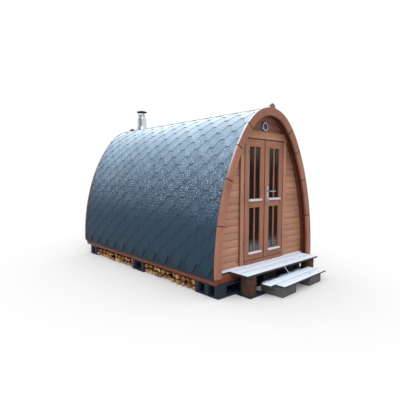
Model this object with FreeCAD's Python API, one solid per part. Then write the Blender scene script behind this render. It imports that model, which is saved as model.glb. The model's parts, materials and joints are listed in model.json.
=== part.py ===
import FreeCAD, Part
import os
import random
from math import sin, cos, radians, pi

V = FreeCAD.Vector

# A garden sauna cabin in the form of a pointed arch: a stave shell on two skids, closed by
# recessed end walls, with timber arches over its ends, double doors, a deck and a step.
# Sizes are in millimetres. X is across, Y runs from the doors to the back, Z is up, and the
# origin is on the ground in the middle of the footprint.

# Main sizes
LENGTH = 4030.0            # front face of the front arch to rear face of the rear arch
HALF_WIDTH = 1200.0        # half the width at the foot of the arch
FOOT_LEAN = 1.46           # how far the legs lean outwards at the foot, in degrees
LEG_RADIUS = 3792.0        # lower arc of the arch
LEG_TURN = 20.7
SIDE_RADIUS = 3017.0       # middle arc
SIDE_TURN = 13.4
SHOULDER_RADIUS = 1258.0   # upper arc; the crown arc closes the outline by itself
SHOULDER_TURN = 17.3

# Base
PALLET_HEIGHT = 180.0
SKID_HEIGHT = 100.0
SKID_WIDTH = 70.0
SKID_INSET = 35.0          # outer face of the skid inside the foot of the arch
JOIST_WIDTH = 60.0
JOISTS = 5
FLOOR_THICKNESS = 45.0

# Shell
ARCH_PROUD = 10.0          # the end arches stand this far outside the shingles
SHINGLE_THICKNESS = 9.0
SHINGLE_DROP = 42.0        # the lowest row hangs this far below the foot
STAVE_THICKNESS = 44.0
CROWN_FROM = 124.0         # heading of the outline where the crown panel of the shell begins
RIDGE_GAP = 1.0

# End arches
ARCH_WIDTH = 121.0
ARCH_THICKNESS = 34.0
SAW_GAP = 3.0
ARCH_DROP = 12.0           # the legs of the end arches end this far below the foot
UPPER_JOINTS = (119.0, 132.2)   # headings of the outline at the upper butt joints
LOWER_JOINT = 99.4
KNOB_HALF_BASE = 112.0
KNOB_HALF_TOP = 60.0
KNOB_SHOULDER = 34.0
KNOB_HEIGHT = 65.0
KNOB_ROOT = 30.0           # the knob's flanks start this far below the top of the arch
KNOB_HOLLOW = 8.0          # how far the flanks curve inwards

# End walls
WALL_RECESS = 157.0        # face of the end wall behind the face of the arch
WALL_THICKNESS = 45.0
TRIM_WIDTH = 27.0
TRIM_DEPTH = 56.0

# Door leaves
LEAF_SHARE = 0.39625       # width of a leaf as a share of half the cabin's width
HEAD_ROOM = 484.0          # from the top of the leaves to the top of the outline
LEAF_THICKNESS = 45.0
LEAF_GAP = 5.0             # running clearance all round each leaf
LEAF_FACE = 126.0          # face of the leaf behind the face of the arch
MEETING_STILE = 109.0
HINGE_STILE = 105.0
BOTTOM_RAIL = 131.5
MIDDLE_RAIL = 132.0
MIDDLE_RAIL_TOP = 936.5    # top of the middle rail over the bottom of the leaf
TOP_RAIL = 112.0
MUNTIN_WIDTH = 30.0
GLASS_THICKNESS = 6.0
GLASS_GROOVE = 8.0
FIT = 0.3                  # seated pieces of one body lie this close

LEDGE_OVERLAP = 21.0       # the drip ledge is this much longer than the pane at each end
LEDGE_DEPTH = 30.0
LEDGE_HEIGHT = 25.0
LEDGE_FALL = 8.0
LEDGE_BELOW = 10.0

# Door frame
JAMB_WIDTH = 45.0
STOP_REACH = 15.0
CASING_WIDTH = 89.0
CASING_THICKNESS = 30.0
HEADER_HEIGHT = 124.0
DECK_RISE = 45.0           # top of the deck and of the floor over the foot of the arch
THRESHOLD_FRONT = 112.0
THRESHOLD_HEIGHT = 53.5
CASING_JOINT = 1.0

# Hinges
KNUCKLE_RADIUS = 7.0
KNUCKLE_CLEAR = 0.5
HINGE_LENGTH = 62.0
HINGE_LOW = 243.5          # middle of the lower hinges over the bottom of the leaf
HINGE_MIDDLE = 1130.5
HINGE_BELOW_TOP = 202.0    # middle of the upper hinge below the top of the leaf
HINGE_PLATE = 2.0
HINGE_PLATE_DEPTH = 30.0
HINGE_PIN_RADIUS = 3.0

# Handle
PLATE_CENTRE = 68.0        # backplate's middle from the middle of the doorway
PLATE_WIDTH = 42.0
PLATE_THICKNESS = 6.0
PLATE_BOTTOM = 850.0       # over the bottom of the leaf
PLATE_HEIGHT = 275.0
LEVER_HEIGHT = 1042.0
LEVER_RADIUS = 9.0
LEVER_LENGTH = 135.0
LEVER_REACH = 48.0
ROSE_RADIUS = 13.0
KEYHOLE_BELOW = 178.0
KEYHOLE_RADIUS = 6.0

# Vent
VENT_CLEAR = 7.5           # the vent's rim stands this far above the header board
VENT_RADIUS = 73.0
VENT_HOLE = 50.0
VENT_PROUD = 28.0
VENT_LIP = 8.0

# Chimney
CHIMNEY_FROM_REAR = 442.0
CHIMNEY_BODY = 100.0
CHIMNEY_NECK = 70.0
CHIMNEY_WALL = 3.0
CHIMNEY_ROOF_CLEAR = 2.0
CHIMNEY_INSIDE = 220.0     # how far the pipe reaches below the top of the outline
BODY_TOP = 235.0           # heights over the top of the outline
NECK_BOTTOM = 292.0
NECK_TOP = 338.0
CAP_BOTTOM = 385.0
CAP_RIM = 16.0
CAP_TOP = 430.0
CAP_RADIUS = 112.0
CAP_SHEET = 3.0
CAP_STRUTS = 3
STRUT_RADIUS = 5.0
FLASHING_TOP = 75.0
FLASHING_RADIUS = 140.0
FLASHING_SHEET = 3.0

# Pallets under the cabin
PALLET_INSET = 40.0        # ends of the pallets inside the foot of the arch
PALLET_BOARD = 22.0
PALLET_BLOCK_WIDTH = 165.0
PALLET_BLOCK_LENGTH = 75.0
PALLET_BAY = 200.0         # a pallet has one more row of blocks for each such length
PALLETS = ((-10.0, 470.0), (1800.0, 350.0), (3570.0, 260.0))   # front edge and length

# Split firewood under the left side
LOG_LENGTH = 330.0
LOG_ROWS = 2
LOG_GAP = 0.3              # stacked logs lie this close
LOG_PITCH = 118.0
LOG_UNEVEN = 25.0
LOG_SEED = 7

# Deck
DECK_BOARD = 28.0
DECK_JOINT = 4.0
DECK_BACK = 55.0           # front edge of the rear board behind the face of the arch
DECK_BACK_HALF = 1030.0
DECK_BACK_CLEAR = 4.0
DECK_FRONT_START = 51.0
DECK_FRONT_EDGE = -278.0   # front edge of the deck before the face of the arch
DECK_LEFT = -875.0
DECK_RIGHT = 950.0
STUMP_BOARD = 20.0
STUMP_BOARD_LENGTH = 335.0
STUMP_BOARD_WIDTH = 268.0
STUMP_BOARD_SHIFT = 50.0
LEFT_STUMP = (-700.0, -150.0, 118.0)    # centre and radius
RIGHT_STUMP = (880.0, -140.0, 100.0)
SILL_THICKNESS = 45.0
SILL_FRONT = 50.0

# Step: a low pallet with two boards, set at a slight angle
STEP_CORNER_X = -467.0
STEP_REACH = 590.0         # its front corner before the face of the arch
STEP_TURN = 2.6
STEP_BOARD = 25.0
STEP_BOARD_WIDTH = 152.0
STEP_BOARD_GAP = 3.0
STEP_FRONT_LENGTH = 1218.0
STEP_BACK_LENGTH = 1330.0
STEP_BACK_SHIFT = -112.0
STEP_PALLET_HEIGHT = 145.0
STEP_PALLET_LENGTH = 1110.0
STEP_PALLET_DEPTH = 360.0
STEP_PALLET_SETBACK = 38.0
STEP_LEG = 355.0
STEP_PALLET_BOARD = 20.0
LATH_RADIUS = 6.0
LATH_TOP_X = -10.0
LATH_LOW_X = 150.0
LATH_OVER = 16.0           # the stick ends this far above the underside of the deck

# Worked out from the values above
STEP_SIN = sin(radians(STEP_TURN))
STEP_COS = cos(radians(STEP_TURN))
FRONT = (STEP_REACH - LENGTH) / 2
REAR = FRONT + LENGTH
FOOT_Z = PALLET_HEIGHT + SKID_HEIGHT
SHELL_OUTER = ARCH_PROUD + SHINGLE_THICKNESS
SHELL_INNER = SHELL_OUTER + STAVE_THICKNESS
SHELL_FRONT = FRONT + ARCH_THICKNESS
SHELL_REAR = REAR - ARCH_THICKNESS
WALL_FRONT = FRONT + WALL_RECESS
WALL_REAR = REAR - WALL_RECESS
FLOOR_Z = FOOT_Z + DECK_RISE
SKID_OUTER = HALF_WIDTH - SKID_INSET
SKID_INNER = SKID_OUTER - SKID_WIDTH
PALLET_HALF_WIDTH = HALF_WIDTH - PALLET_INSET


def box(x0, x1, y0, y1, z0, z1):
    return Part.makeBox(x1 - x0, y1 - y0, z1 - z0, V(x0, y0, z0))


def cylinder(radius, x, y, z0, z1):
    return Part.makeCylinder(radius, z1 - z0, V(x, y, z0))


def mirrored(shape):
    return shape.mirror(V(0, 0, 0), V(1, 0, 0))


def revolved(points, x, y):
    """A solid turned about the upright axis at x, y from points of radius and height."""
    corners = [V(x + r, y, z) for r, z in points]
    face = Part.Face(Part.makePolygon(corners + corners[:1]))
    return face.revolve(V(x, y, 0), V(0, 0, 1), 360)


def prism_x(points, x0, x1):
    """A solid drawn across from points of y and z."""
    corners = [V(x0, y, z) for y, z in points]
    return Part.Face(Part.makePolygon(corners + corners[:1])).extrude(V(x1 - x0, 0, 0))


def save(name, *shapes):
    solids = [solid for shape in shapes for solid in shape.Solids]
    result = solids[0] if len(solids) == 1 else Part.makeCompound(solids)
    result.exportStep(os.path.join("parts", name + ".step"))


# The outline of the arch

def side_arcs():
    """Centre, radius, first and last heading of each arc on the right side, foot to crown."""
    heading = 90.0 - FOOT_LEAN
    x, z = HALF_WIDTH, FOOT_Z
    arcs = []
    for radius, turn in ((LEG_RADIUS, LEG_TURN), (SIDE_RADIUS, SIDE_TURN),
                         (SHOULDER_RADIUS, SHOULDER_TURN)):
        a = radians(heading)
        centre_x, centre_z = x - radius * sin(a), z + radius * cos(a)
        arcs.append((centre_x, centre_z, radius, heading, heading + turn))
        heading += turn
        a = radians(heading)
        x, z = centre_x + radius * sin(a), centre_z - radius * cos(a)
    crown = x / sin(radians(heading))
    arcs.append((0.0, z + crown * cos(radians(heading)), crown, heading, 180.0))
    return arcs


ARCS = side_arcs()
TOP_Z = ARCS[-1][1] + ARCS[-1][2]

# The doorway follows the width and the top of the outline
LEAF_Z = FLOOR_Z + THRESHOLD_HEIGHT + LEAF_GAP
LEAF_Y = FRONT + LEAF_FACE
LEAF_WIDTH = LEAF_SHARE * HALF_WIDTH
LEAF_HEIGHT = TOP_Z - HEAD_ROOM - LEAF_Z
LEAF_OUTER = LEAF_GAP / 2 + LEAF_WIDTH
JAMB_INNER = LEAF_OUTER + LEAF_GAP
HEAD_Z = LEAF_Z + LEAF_HEIGHT + LEAF_GAP
HINGE_X = LEAF_OUTER + LEAF_GAP / 2
HINGE_Y = LEAF_Y - KNUCKLE_RADIUS - KNUCKLE_CLEAR
HINGE_HEIGHTS = (HINGE_LOW, HINGE_MIDDLE, LEAF_HEIGHT - HINGE_BELOW_TOP)
PLATE_Y = LEAF_Y - FIT - PLATE_THICKNESS
VENT_Z = HEAD_Z + HEADER_HEIGHT + VENT_CLEAR + VENT_RADIUS


def on_outline(heading, offset=0.0):
    """The point of the right side with this heading, moved inwards by the offset."""
    for centre_x, centre_z, radius, _, last in ARCS:
        if heading <= last:
            break
    a = radians(heading)
    return (centre_x + (radius - offset) * sin(a), centre_z - (radius - offset) * cos(a))


def half_width_at(z, offset):
    """Half the width inside the outline moved inwards by the offset, at a height."""
    for centre_x, centre_z, radius, first, last in ARCS:
        if z <= centre_z - (radius - offset) * cos(radians(last)):
            break
    r = radius - offset
    return centre_x + (r * r - (z - centre_z) ** 2) ** 0.5


def arch_block(offset, y0, y1, bottom):
    """Everything inside the outline moved inwards by the offset, above the bottom."""
    def point(heading, side):
        x, z = on_outline(heading, offset)
        return V(side * x, y0, z)

    edges = []
    foot = 90.0 - FOOT_LEAN
    low_x = on_outline(foot, offset)[0] - FOOT_Z * cos(radians(foot))
    low_z = 0.0
    edges.append(Part.LineSegment(V(low_x, y0, low_z), point(foot, 1)).toShape())
    for _, _, _, first, last in ARCS:
        arc = Part.Arc(point(first, 1), point((first + last) / 2, 1), point(last, 1))
        edges.append(arc.toShape())
    for _, _, _, first, last in reversed(ARCS):
        arc = Part.Arc(point(last, -1), point((first + last) / 2, -1), point(first, -1))
        edges.append(arc.toShape())
    edges.append(Part.LineSegment(point(foot, -1), V(-low_x, y0, low_z)).toShape())
    edges.append(Part.LineSegment(V(-low_x, y0, low_z), V(low_x, y0, low_z)).toShape())
    block = Part.Face(Part.Wire(edges)).extrude(V(0, y1 - y0, 0))
    wide = 2 * HALF_WIDTH
    return block.common(box(-wide, wide, y0 - 1, y1 + 1, bottom, 2 * TOP_Z))


def arch_band(outer, inner, y0, y1, bottom):
    """The part of the arch between two offsets."""
    hollow = arch_block(inner, y0 - 1, y1 + 1, bottom - 1)
    return arch_block(outer, y0, y1, bottom).cut(hollow)


def knife(heading, thickness, y0, y1, side):
    """A thin plate square to the outline at this heading."""
    outer_x, outer_z = on_outline(heading, -ARCH_WIDTH / 2)
    depth = 2 * ARCH_WIDTH
    plate = box(-depth, 0, y0 - 1, y1 + 1, -thickness / 2, thickness / 2)
    plate.rotate(V(0, 0, 0), V(0, 1, 0), 90.0 - heading)
    plate.translate(V(outer_x, 0, outer_z))
    return plate if side > 0 else mirrored(plate)


# End arches

def joint_headings():
    leg_end = ARCS[0][4]
    return (LOWER_JOINT, leg_end) + UPPER_JOINTS


def knob(y0, y1):
    """The rounded knob on the middle of the crown piece."""
    base_z = TOP_Z - KNOB_ROOT
    shoulder_z = TOP_Z + KNOB_SHOULDER
    left_base, right_base = V(-KNOB_HALF_BASE, y0, base_z), V(KNOB_HALF_BASE, y0, base_z)
    left, right = V(-KNOB_HALF_TOP, y0, shoulder_z), V(KNOB_HALF_TOP, y0, shoulder_z)
    flank_x = (KNOB_HALF_BASE + KNOB_HALF_TOP) / 2 - KNOB_HOLLOW
    flank_z = (base_z + shoulder_z - KNOB_HOLLOW) / 2
    edges = [Part.LineSegment(left_base, right_base).toShape(),
             Part.Arc(right_base, V(flank_x, y0, flank_z), right).toShape(),
             Part.Arc(right, V(0, y0, TOP_Z + KNOB_HEIGHT), left).toShape(),
             Part.Arc(left, V(-flank_x, y0, flank_z), left_base).toShape()]
    return Part.Face(Part.Wire(edges)).extrude(V(0, y1 - y0, 0))


def end_arch(name, y0, y1):
    """The arch of butt jointed boards over one end, and its crown piece."""
    band = arch_band(0.0, ARCH_WIDTH, y0, y1, FOOT_Z - ARCH_DROP)
    for side in (-1, 1):
        for heading in joint_headings():
            band = band.cut(knife(heading, SAW_GAP, y0, y1, side))
    crown_z = max(solid.CenterOfMass.z for solid in band.Solids)
    crown = [solid for solid in band.Solids if solid.CenterOfMass.z == crown_z][0]
    legs = [solid for solid in band.Solids if solid.CenterOfMass.z < crown_z]
    save(name + "_arch", *legs)
    save(name + "_crown", crown.fuse(knob(y0, y1)).removeSplitter())


# Shell

def shell():
    """Stave shell in three panels, and the shingle skins over it."""
    band = arch_band(SHELL_OUTER, SHELL_INNER, SHELL_FRONT, SHELL_REAR, FOOT_Z)
    roof_hole = cylinder(CHIMNEY_BODY + CHIMNEY_ROOF_CLEAR, 0, REAR - CHIMNEY_FROM_REAR,
                         TOP_Z - 2 * CHIMNEY_INSIDE, TOP_Z + BODY_TOP)
    for side in (-1, 1):
        band = band.cut(knife(CROWN_FROM, RIDGE_GAP, SHELL_FRONT, SHELL_REAR, side))
    for solid in band.Solids:
        middle = solid.CenterOfMass.x
        if abs(middle) < 1.0:
            save("shell_crown", solid.cut(roof_hole))
        else:
            save("shell_right" if middle > 0 else "shell_left", solid)
    skin = arch_band(ARCH_PROUD, SHELL_OUTER, SHELL_FRONT, SHELL_REAR, FOOT_Z - SHINGLE_DROP)
    skin = skin.cut(roof_hole)
    wide = 2 * HALF_WIDTH
    ridge = RIDGE_GAP / 2
    save("shingles_right", skin.common(box(ridge, wide, FRONT, REAR, 0, 2 * TOP_Z)))
    save("shingles_left", skin.common(box(-wide, -ridge, FRONT, REAR, 0, 2 * TOP_Z)))


# End walls

def wall_block(y0, y1, bottom):
    return arch_block(SHELL_INNER + FIT, y0, y1, bottom)


def front_wall():
    y0, y1 = WALL_FRONT, WALL_FRONT + WALL_THICKNESS
    block = wall_block(y0, y1, FLOOR_Z)
    opening = JAMB_INNER + JAMB_WIDTH + FIT
    head = HEAD_Z + JAMB_WIDTH + FIT
    wide = 2 * HALF_WIDTH
    save("front_wall_right", block.common(box(opening, wide, y0, y1, FLOOR_Z, head - FIT)))
    save("front_wall_left", block.common(box(-wide, -opening, y0, y1, FLOOR_Z, head - FIT)))
    gable = block.common(box(-wide, wide, y0, y1, head, 2 * TOP_Z))
    vent_hole = Part.makeCylinder(VENT_HOLE, WALL_THICKNESS + 20,
                                  V(0, y0 - 10, VENT_Z), V(0, 1, 0))
    save("front_gable", gable.cut(vent_hole))


def rear_wall():
    save("rear_wall", wall_block(WALL_REAR - WALL_THICKNESS, WALL_REAR, FLOOR_Z))


def end_trims():
    """Batten along the inner face of the shell, in front of each end wall."""
    inner = SHELL_INNER + FIT
    front = arch_band(inner, inner + TRIM_WIDTH, WALL_FRONT - FIT - TRIM_DEPTH,
                      WALL_FRONT - FIT, FLOOR_Z)
    rear = arch_band(inner, inner + TRIM_WIDTH, WALL_REAR + FIT,
                     WALL_REAR + FIT + TRIM_DEPTH, FLOOR_Z)
    save("front_trim", front)
    save("rear_trim", rear)


# Floor and base

def floor():
    edge = half_width_at(FOOT_Z + 1.0, SHELL_INNER) - FIT
    save("floor", box(-edge, edge, WALL_FRONT, WALL_REAR, FLOOR_Z - FLOOR_THICKNESS, FLOOR_Z))
    for side, name in ((-1, "skid_left"), (1, "skid_right")):
        skid = box(SKID_INNER, SKID_OUTER, SHELL_FRONT, SHELL_REAR, PALLET_HEIGHT, FOOT_Z)
        save(name, skid if side > 0 else mirrored(skid))
    joists = []
    first = WALL_FRONT + JOIST_WIDTH
    step = (WALL_REAR - 2 * JOIST_WIDTH - first) / (JOISTS - 1)
    for i in range(JOISTS):
        y = first + i * step
        joists.append(box(-SKID_INNER, SKID_INNER, y, y + JOIST_WIDTH, PALLET_HEIGHT, FOOT_Z))
    save("floor_joists", *joists)
    top = FLOOR_Z - DECK_BOARD
    front = FRONT + SILL_FRONT
    back = REAR - SILL_FRONT
    half = SKID_INNER - FIT
    save("end_sills",
         box(-half, half, front, front + SILL_THICKNESS, PALLET_HEIGHT, top),
         box(-half, half, back - SILL_THICKNESS, back, PALLET_HEIGHT, top))


def block_lines():
    """Low and high x of the blocks of two pallets side by side, three blocks to each."""
    wide, half = PALLET_BLOCK_WIDTH, PALLET_HALF_WIDTH
    middle = (half - wide) / 2
    right = [(0.0, wide), (middle, middle + wide), (half - wide, half)]
    return [(-high, -low) for low, high in right[:0:-1]] + [(-wide, wide)] + right[1:]


def base_pallets():
    """Three pallets under the skids: boards over and under the blocks, open for forks."""
    tops, blocks, bottoms = [], [], []
    low = PALLET_HEIGHT - PALLET_BOARD
    half = PALLET_HALF_WIDTH
    for start, length in PALLETS:
        y0, y1 = FRONT + start, FRONT + start + length
        tops.append(box(-half, half, y0, y1, low, PALLET_HEIGHT))
        bottoms.append(box(-half, half, y0, y1, 0, PALLET_BOARD))
        bays = int(length / PALLET_BAY)
        run = (length - PALLET_BLOCK_LENGTH) / bays
        for x0, x1 in block_lines():
            for k in range(bays + 1):
                y = y0 + k * run
                blocks.append(box(x0, x1, y, y + PALLET_BLOCK_LENGTH, PALLET_BOARD, low))
    save("base_boards", *tops)
    save("base_blocks", *blocks)
    save("base_bottoms", *bottoms)


def split_log(chance, x0, x1, y0, y1, z0, z1):
    """One split log with a flat bottom and top and slanted sides, lying across."""
    w, middle = y1 - y0, (z0 + z1) / 2
    bottom, top = chance.uniform(0.04, 0.24), chance.uniform(0.12, 0.36)
    points = [(y0 + w * bottom, z0), (y1 - w * bottom, z0), (y1, middle),
              (y1 - w * top, z1), (y0 + w * top, z1), (y0, middle)]
    return prism_x(points, x0 + chance.uniform(0, LOG_UNEVEN), x1)


def firewood():
    """Split logs stacked between the pallets along the left side, under the shell."""
    chance = random.Random(LOG_SEED)
    row = (PALLET_HEIGHT - PALLET_BOARD - LOG_ROWS * LOG_GAP) / LOG_ROWS
    for name, k in (("firewood_front", 0), ("firewood_rear", 1)):
        y0 = FRONT + PALLETS[k][0] + PALLETS[k][1] + LOG_GAP
        y1 = FRONT + PALLETS[k + 1][0]
        count = round((y1 - y0) / LOG_PITCH)
        width = (y1 - y0) / count
        logs = []
        for level in range(LOG_ROWS):
            z0 = level * (row + LOG_GAP)
            for i in range(count):
                y = y0 + i * width
                logs.append(split_log(chance, -PALLET_HALF_WIDTH, LOG_LENGTH - PALLET_HALF_WIDTH,
                                      y, y + width - LOG_GAP, z0, z0 + row))
        save(name, *logs)


# Deck and step

def deck():
    top = FLOOR_Z
    low = FLOOR_Z - DECK_BOARD
    back = box(-DECK_BACK_HALF, DECK_BACK_HALF, FRONT + DECK_BACK,
               WALL_FRONT - DECK_BACK_CLEAR, low, top)
    depth = (DECK_FRONT_START - DECK_FRONT_EDGE - DECK_JOINT) / 2
    boards = [back]
    for i in range(2):
        y = FRONT + DECK_FRONT_EDGE + i * (depth + DECK_JOINT)
        boards.append(box(DECK_LEFT, DECK_RIGHT, y, y + depth, low, top))
    save("deck_boards", *boards)
    left_x, left_y, left_r = LEFT_STUMP
    right_x, right_y, right_r = RIGHT_STUMP
    save("log_stumps",
         cylinder(left_r, left_x, FRONT + left_y, STUMP_BOARD, low),
         cylinder(right_r, right_x, FRONT + right_y, 0, low))
    x = left_x + STUMP_BOARD_SHIFT
    y = FRONT + left_y
    save("stump_board", box(x - STUMP_BOARD_LENGTH / 2, x + STUMP_BOARD_LENGTH / 2,
                            y - STUMP_BOARD_WIDTH / 2, y + STUMP_BOARD_WIDTH / 2, 0, STUMP_BOARD))


def at_step(shape):
    """Turns a piece drawn from the step's front corner and sets it before the deck."""
    shape.rotate(V(0, 0, 0), V(0, 0, 1), STEP_TURN)
    shape.translate(V(STEP_CORNER_X, FRONT - STEP_REACH, 0))
    return shape


def step():
    low = STEP_PALLET_HEIGHT
    top = low + STEP_BOARD
    w = STEP_BOARD_WIDTH
    front = box(0, STEP_FRONT_LENGTH, 0, w, low, top)
    back_y = w + STEP_BOARD_GAP
    back = box(STEP_BACK_SHIFT, STEP_BACK_SHIFT + STEP_BACK_LENGTH, back_y, back_y + w, low, top)
    save("step_boards", at_step(front), at_step(back))
    y0 = STEP_PALLET_SETBACK
    y1 = y0 + STEP_PALLET_DEPTH
    x0 = 15.0
    x1 = x0 + STEP_PALLET_LENGTH
    deck_low = low - STEP_PALLET_BOARD
    save("step_pallet_top", at_step(box(x0, x1, y0, y1, deck_low, low)))
    save("step_pallet_legs", at_step(box(x0, x0 + STEP_LEG, y0, y1, 0, deck_low)),
         at_step(box(x1 - STEP_LEG, x1, y0, y1, 0, deck_low)))


def lath():
    """A thin stick that leans on the edge of the deck and stands on the step's pallet."""
    away = (LATH_RADIUS + FIT) * 1.03
    back = 2 * STEP_BOARD_WIDTH + STEP_BOARD_GAP
    along = (LATH_LOW_X - STEP_CORNER_X + back * STEP_SIN) / STEP_COS
    low_y = FRONT - STEP_REACH + along * STEP_SIN + back * STEP_COS + away
    low_z = STEP_PALLET_HEIGHT + STEP_BOARD
    high = V(LATH_TOP_X, FRONT + DECK_FRONT_EDGE - away, FLOOR_Z - DECK_BOARD)
    low = V(LATH_LOW_X, low_y, low_z)
    direction = low - high
    top = high - direction * (LATH_OVER / -direction.z)
    across = (direction.x ** 2 + direction.y ** 2) ** 0.5 / direction.Length
    foot_z = STEP_PALLET_HEIGHT + FIT + LATH_RADIUS * across
    length = direction.Length * (top.z - foot_z) / -direction.z
    save("lath", Part.makeCylinder(LATH_RADIUS, length, top, direction))


# Doorway

def door_frame():
    """Rebated jambs and head in the opening of the front wall."""
    y0 = LEAF_Y + CASING_THICKNESS + 1.0
    y1 = WALL_FRONT + WALL_THICKNESS
    stop = LEAF_Y + LEAF_THICKNESS + LEAF_GAP
    outer = JAMB_INNER + JAMB_WIDTH
    jamb = box(JAMB_INNER, outer, y0, y1, FLOOR_Z, HEAD_Z - CASING_JOINT)
    jamb = jamb.fuse(box(JAMB_INNER - STOP_REACH, outer, stop, y1, FLOOR_Z,
                         HEAD_Z - CASING_JOINT)).removeSplitter()
    head = box(-outer, outer, y0, y1, HEAD_Z, HEAD_Z + JAMB_WIDTH)
    inside = wall_block(y0 - 1, y1 + 1, FLOOR_Z)
    jamb, head = jamb.common(inside), head.common(inside)
    save("door_frame", jamb, mirrored(jamb), head)


def door_casing():
    """Boards round the doorway on the face of the wall."""
    y0 = LEAF_Y + 1.0
    y1 = WALL_FRONT - FIT
    board = box(JAMB_INNER, JAMB_INNER + CASING_WIDTH, y0, y1, FLOOR_Z, HEAD_Z - CASING_JOINT)
    board = board.common(arch_block(SHELL_INNER + TRIM_WIDTH + 1.0, y0 - 1, y1 + 1, FLOOR_Z))
    for hinge_z in HINGE_HEIGHTS:
        board = board.cut(hinge_mortise(hinge_z, 1))
    header = box(-HALF_WIDTH, HALF_WIDTH, y0, y1, HEAD_Z, HEAD_Z + HEADER_HEIGHT)
    header = header.common(arch_block(SHELL_INNER + TRIM_WIDTH + 1.0, y0 - 1, y1 + 1, FLOOR_Z))
    save("door_casing", board, mirrored(board), header)


def threshold():
    top = LEAF_Z - LEAF_GAP
    width = JAMB_INNER - STOP_REACH - FIT
    save("threshold", box(-width, width, FRONT + THRESHOLD_FRONT,
                          WALL_FRONT + WALL_THICKNESS, FLOOR_Z, top))


def hinge_mortise(height, side):
    """Recess for a hinge plate: side 1 in the casing, side -1 in the edge of the leaf."""
    z = LEAF_Z + height
    thick = HINGE_PLATE + FIT
    x = JAMB_INNER if side > 0 else LEAF_OUTER - thick
    return box(x, x + thick, HINGE_Y, LEAF_Y + HINGE_PLATE_DEPTH + FIT,
               z - HINGE_LENGTH / 2 - FIT, z + HINGE_LENGTH / 2 + FIT)


def knuckle_part(z, x, fixed):
    """Knuckles and plate of one half of a hinge on the right leaf."""
    third = HINGE_LENGTH / 3
    low = z - HINGE_LENGTH / 2
    plate = box(x, x + HINGE_PLATE, HINGE_Y, LEAF_Y + HINGE_PLATE_DEPTH, low, low + HINGE_LENGTH)
    if not fixed:
        plate = plate.common(box(x - 1, x + 9, HINGE_Y - 9, LEAF_Y + 99,
                                 low + third + FIT, low + 2 * third - FIT))
        barrel = cylinder(KNUCKLE_RADIUS, HINGE_X, HINGE_Y, low + third + FIT,
                          low + 2 * third - FIT)
        hole = cylinder(HINGE_PIN_RADIUS + FIT, HINGE_X, HINGE_Y, low, low + HINGE_LENGTH)
        return plate.fuse(barrel).cut(hole).removeSplitter()
    gap = box(x - 9, x + 9, HINGE_Y - 9, LEAF_Y, low + third, low + 2 * third)
    plate = plate.cut(gap)
    barrel = cylinder(KNUCKLE_RADIUS, HINGE_X, HINGE_Y, low, low + third)
    upper = cylinder(KNUCKLE_RADIUS, HINGE_X, HINGE_Y, low + 2 * third, low + HINGE_LENGTH)
    pin = cylinder(HINGE_PIN_RADIUS, HINGE_X, HINGE_Y, low, low + HINGE_LENGTH)
    return plate.fuse(barrel).fuse(upper).fuse(pin).removeSplitter()


def hinges():
    fixed, moving = [], []
    for height in HINGE_HEIGHTS:
        z = LEAF_Z + height
        fixed.append(knuckle_part(z, JAMB_INNER, True))
        moving.append(knuckle_part(z, LEAF_OUTER - HINGE_PLATE, False))
    save("frame_hinges", *(fixed + [mirrored(shape) for shape in fixed]))
    save("right_hinges", *moving)
    save("left_hinges", *[mirrored(shape) for shape in moving])


# Door leaves

def panes():
    """Lowest and highest corner, in x and z, of the two glazed openings of the right leaf."""
    x0 = LEAF_GAP / 2 + MEETING_STILE
    x1 = LEAF_OUTER - HINGE_STILE
    middle = LEAF_Z + MIDDLE_RAIL_TOP
    return ((x0, x1, LEAF_Z + BOTTOM_RAIL, middle - MIDDLE_RAIL),
            (x0, x1, middle, LEAF_Z + LEAF_HEIGHT - TOP_RAIL))


def leaf_pieces():
    y0, y1 = LEAF_Y, LEAF_Y + LEAF_THICKNESS
    leaf = box(LEAF_GAP / 2, LEAF_OUTER, y0, y1, LEAF_Z, LEAF_Z + LEAF_HEIGHT)
    glass, ledges = [], []
    glass_y = y0 + (LEAF_THICKNESS - GLASS_THICKNESS) / 2
    for x0, x1, z0, z1 in panes():
        muntin_x = (x0 + x1 - MUNTIN_WIDTH) / 2
        leaf = leaf.cut(box(x0, muntin_x, y0 - 1, y1 + 1, z0, z1))
        leaf = leaf.cut(box(muntin_x + MUNTIN_WIDTH, x1, y0 - 1, y1 + 1, z0, z1))
        g = GLASS_GROOVE
        leaf = leaf.cut(box(x0 - g, x1 + g, glass_y - FIT, glass_y + GLASS_THICKNESS + FIT,
                            z0 - g, z1 + g))
        g = GLASS_GROOVE - FIT
        glass.append(box(x0 - g, x1 + g, glass_y, glass_y + GLASS_THICKNESS, z0 - g, z1 + g))
        top = z0 - LEDGE_BELOW
        front, back = y0 - LEDGE_DEPTH, y0
        ledges.append(prism_x([(back, top - LEDGE_HEIGHT), (back, top), (front, top - LEDGE_FALL),
                               (front, top - LEDGE_HEIGHT)],
                              x0 - LEDGE_OVERLAP, x1 + LEDGE_OVERLAP))
    for height in HINGE_HEIGHTS:
        leaf = leaf.cut(hinge_mortise(height, -1))
    return leaf, glass, ledges


def doors():
    leaf, glass, ledges = leaf_pieces()
    save("right_leaf", leaf)
    save("left_leaf", mirrored(leaf))
    save("right_glass", *glass)
    save("left_glass", *[mirrored(shape) for shape in glass])
    save("right_ledges", *ledges)
    save("left_ledges", *[mirrored(shape) for shape in ledges])


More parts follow.
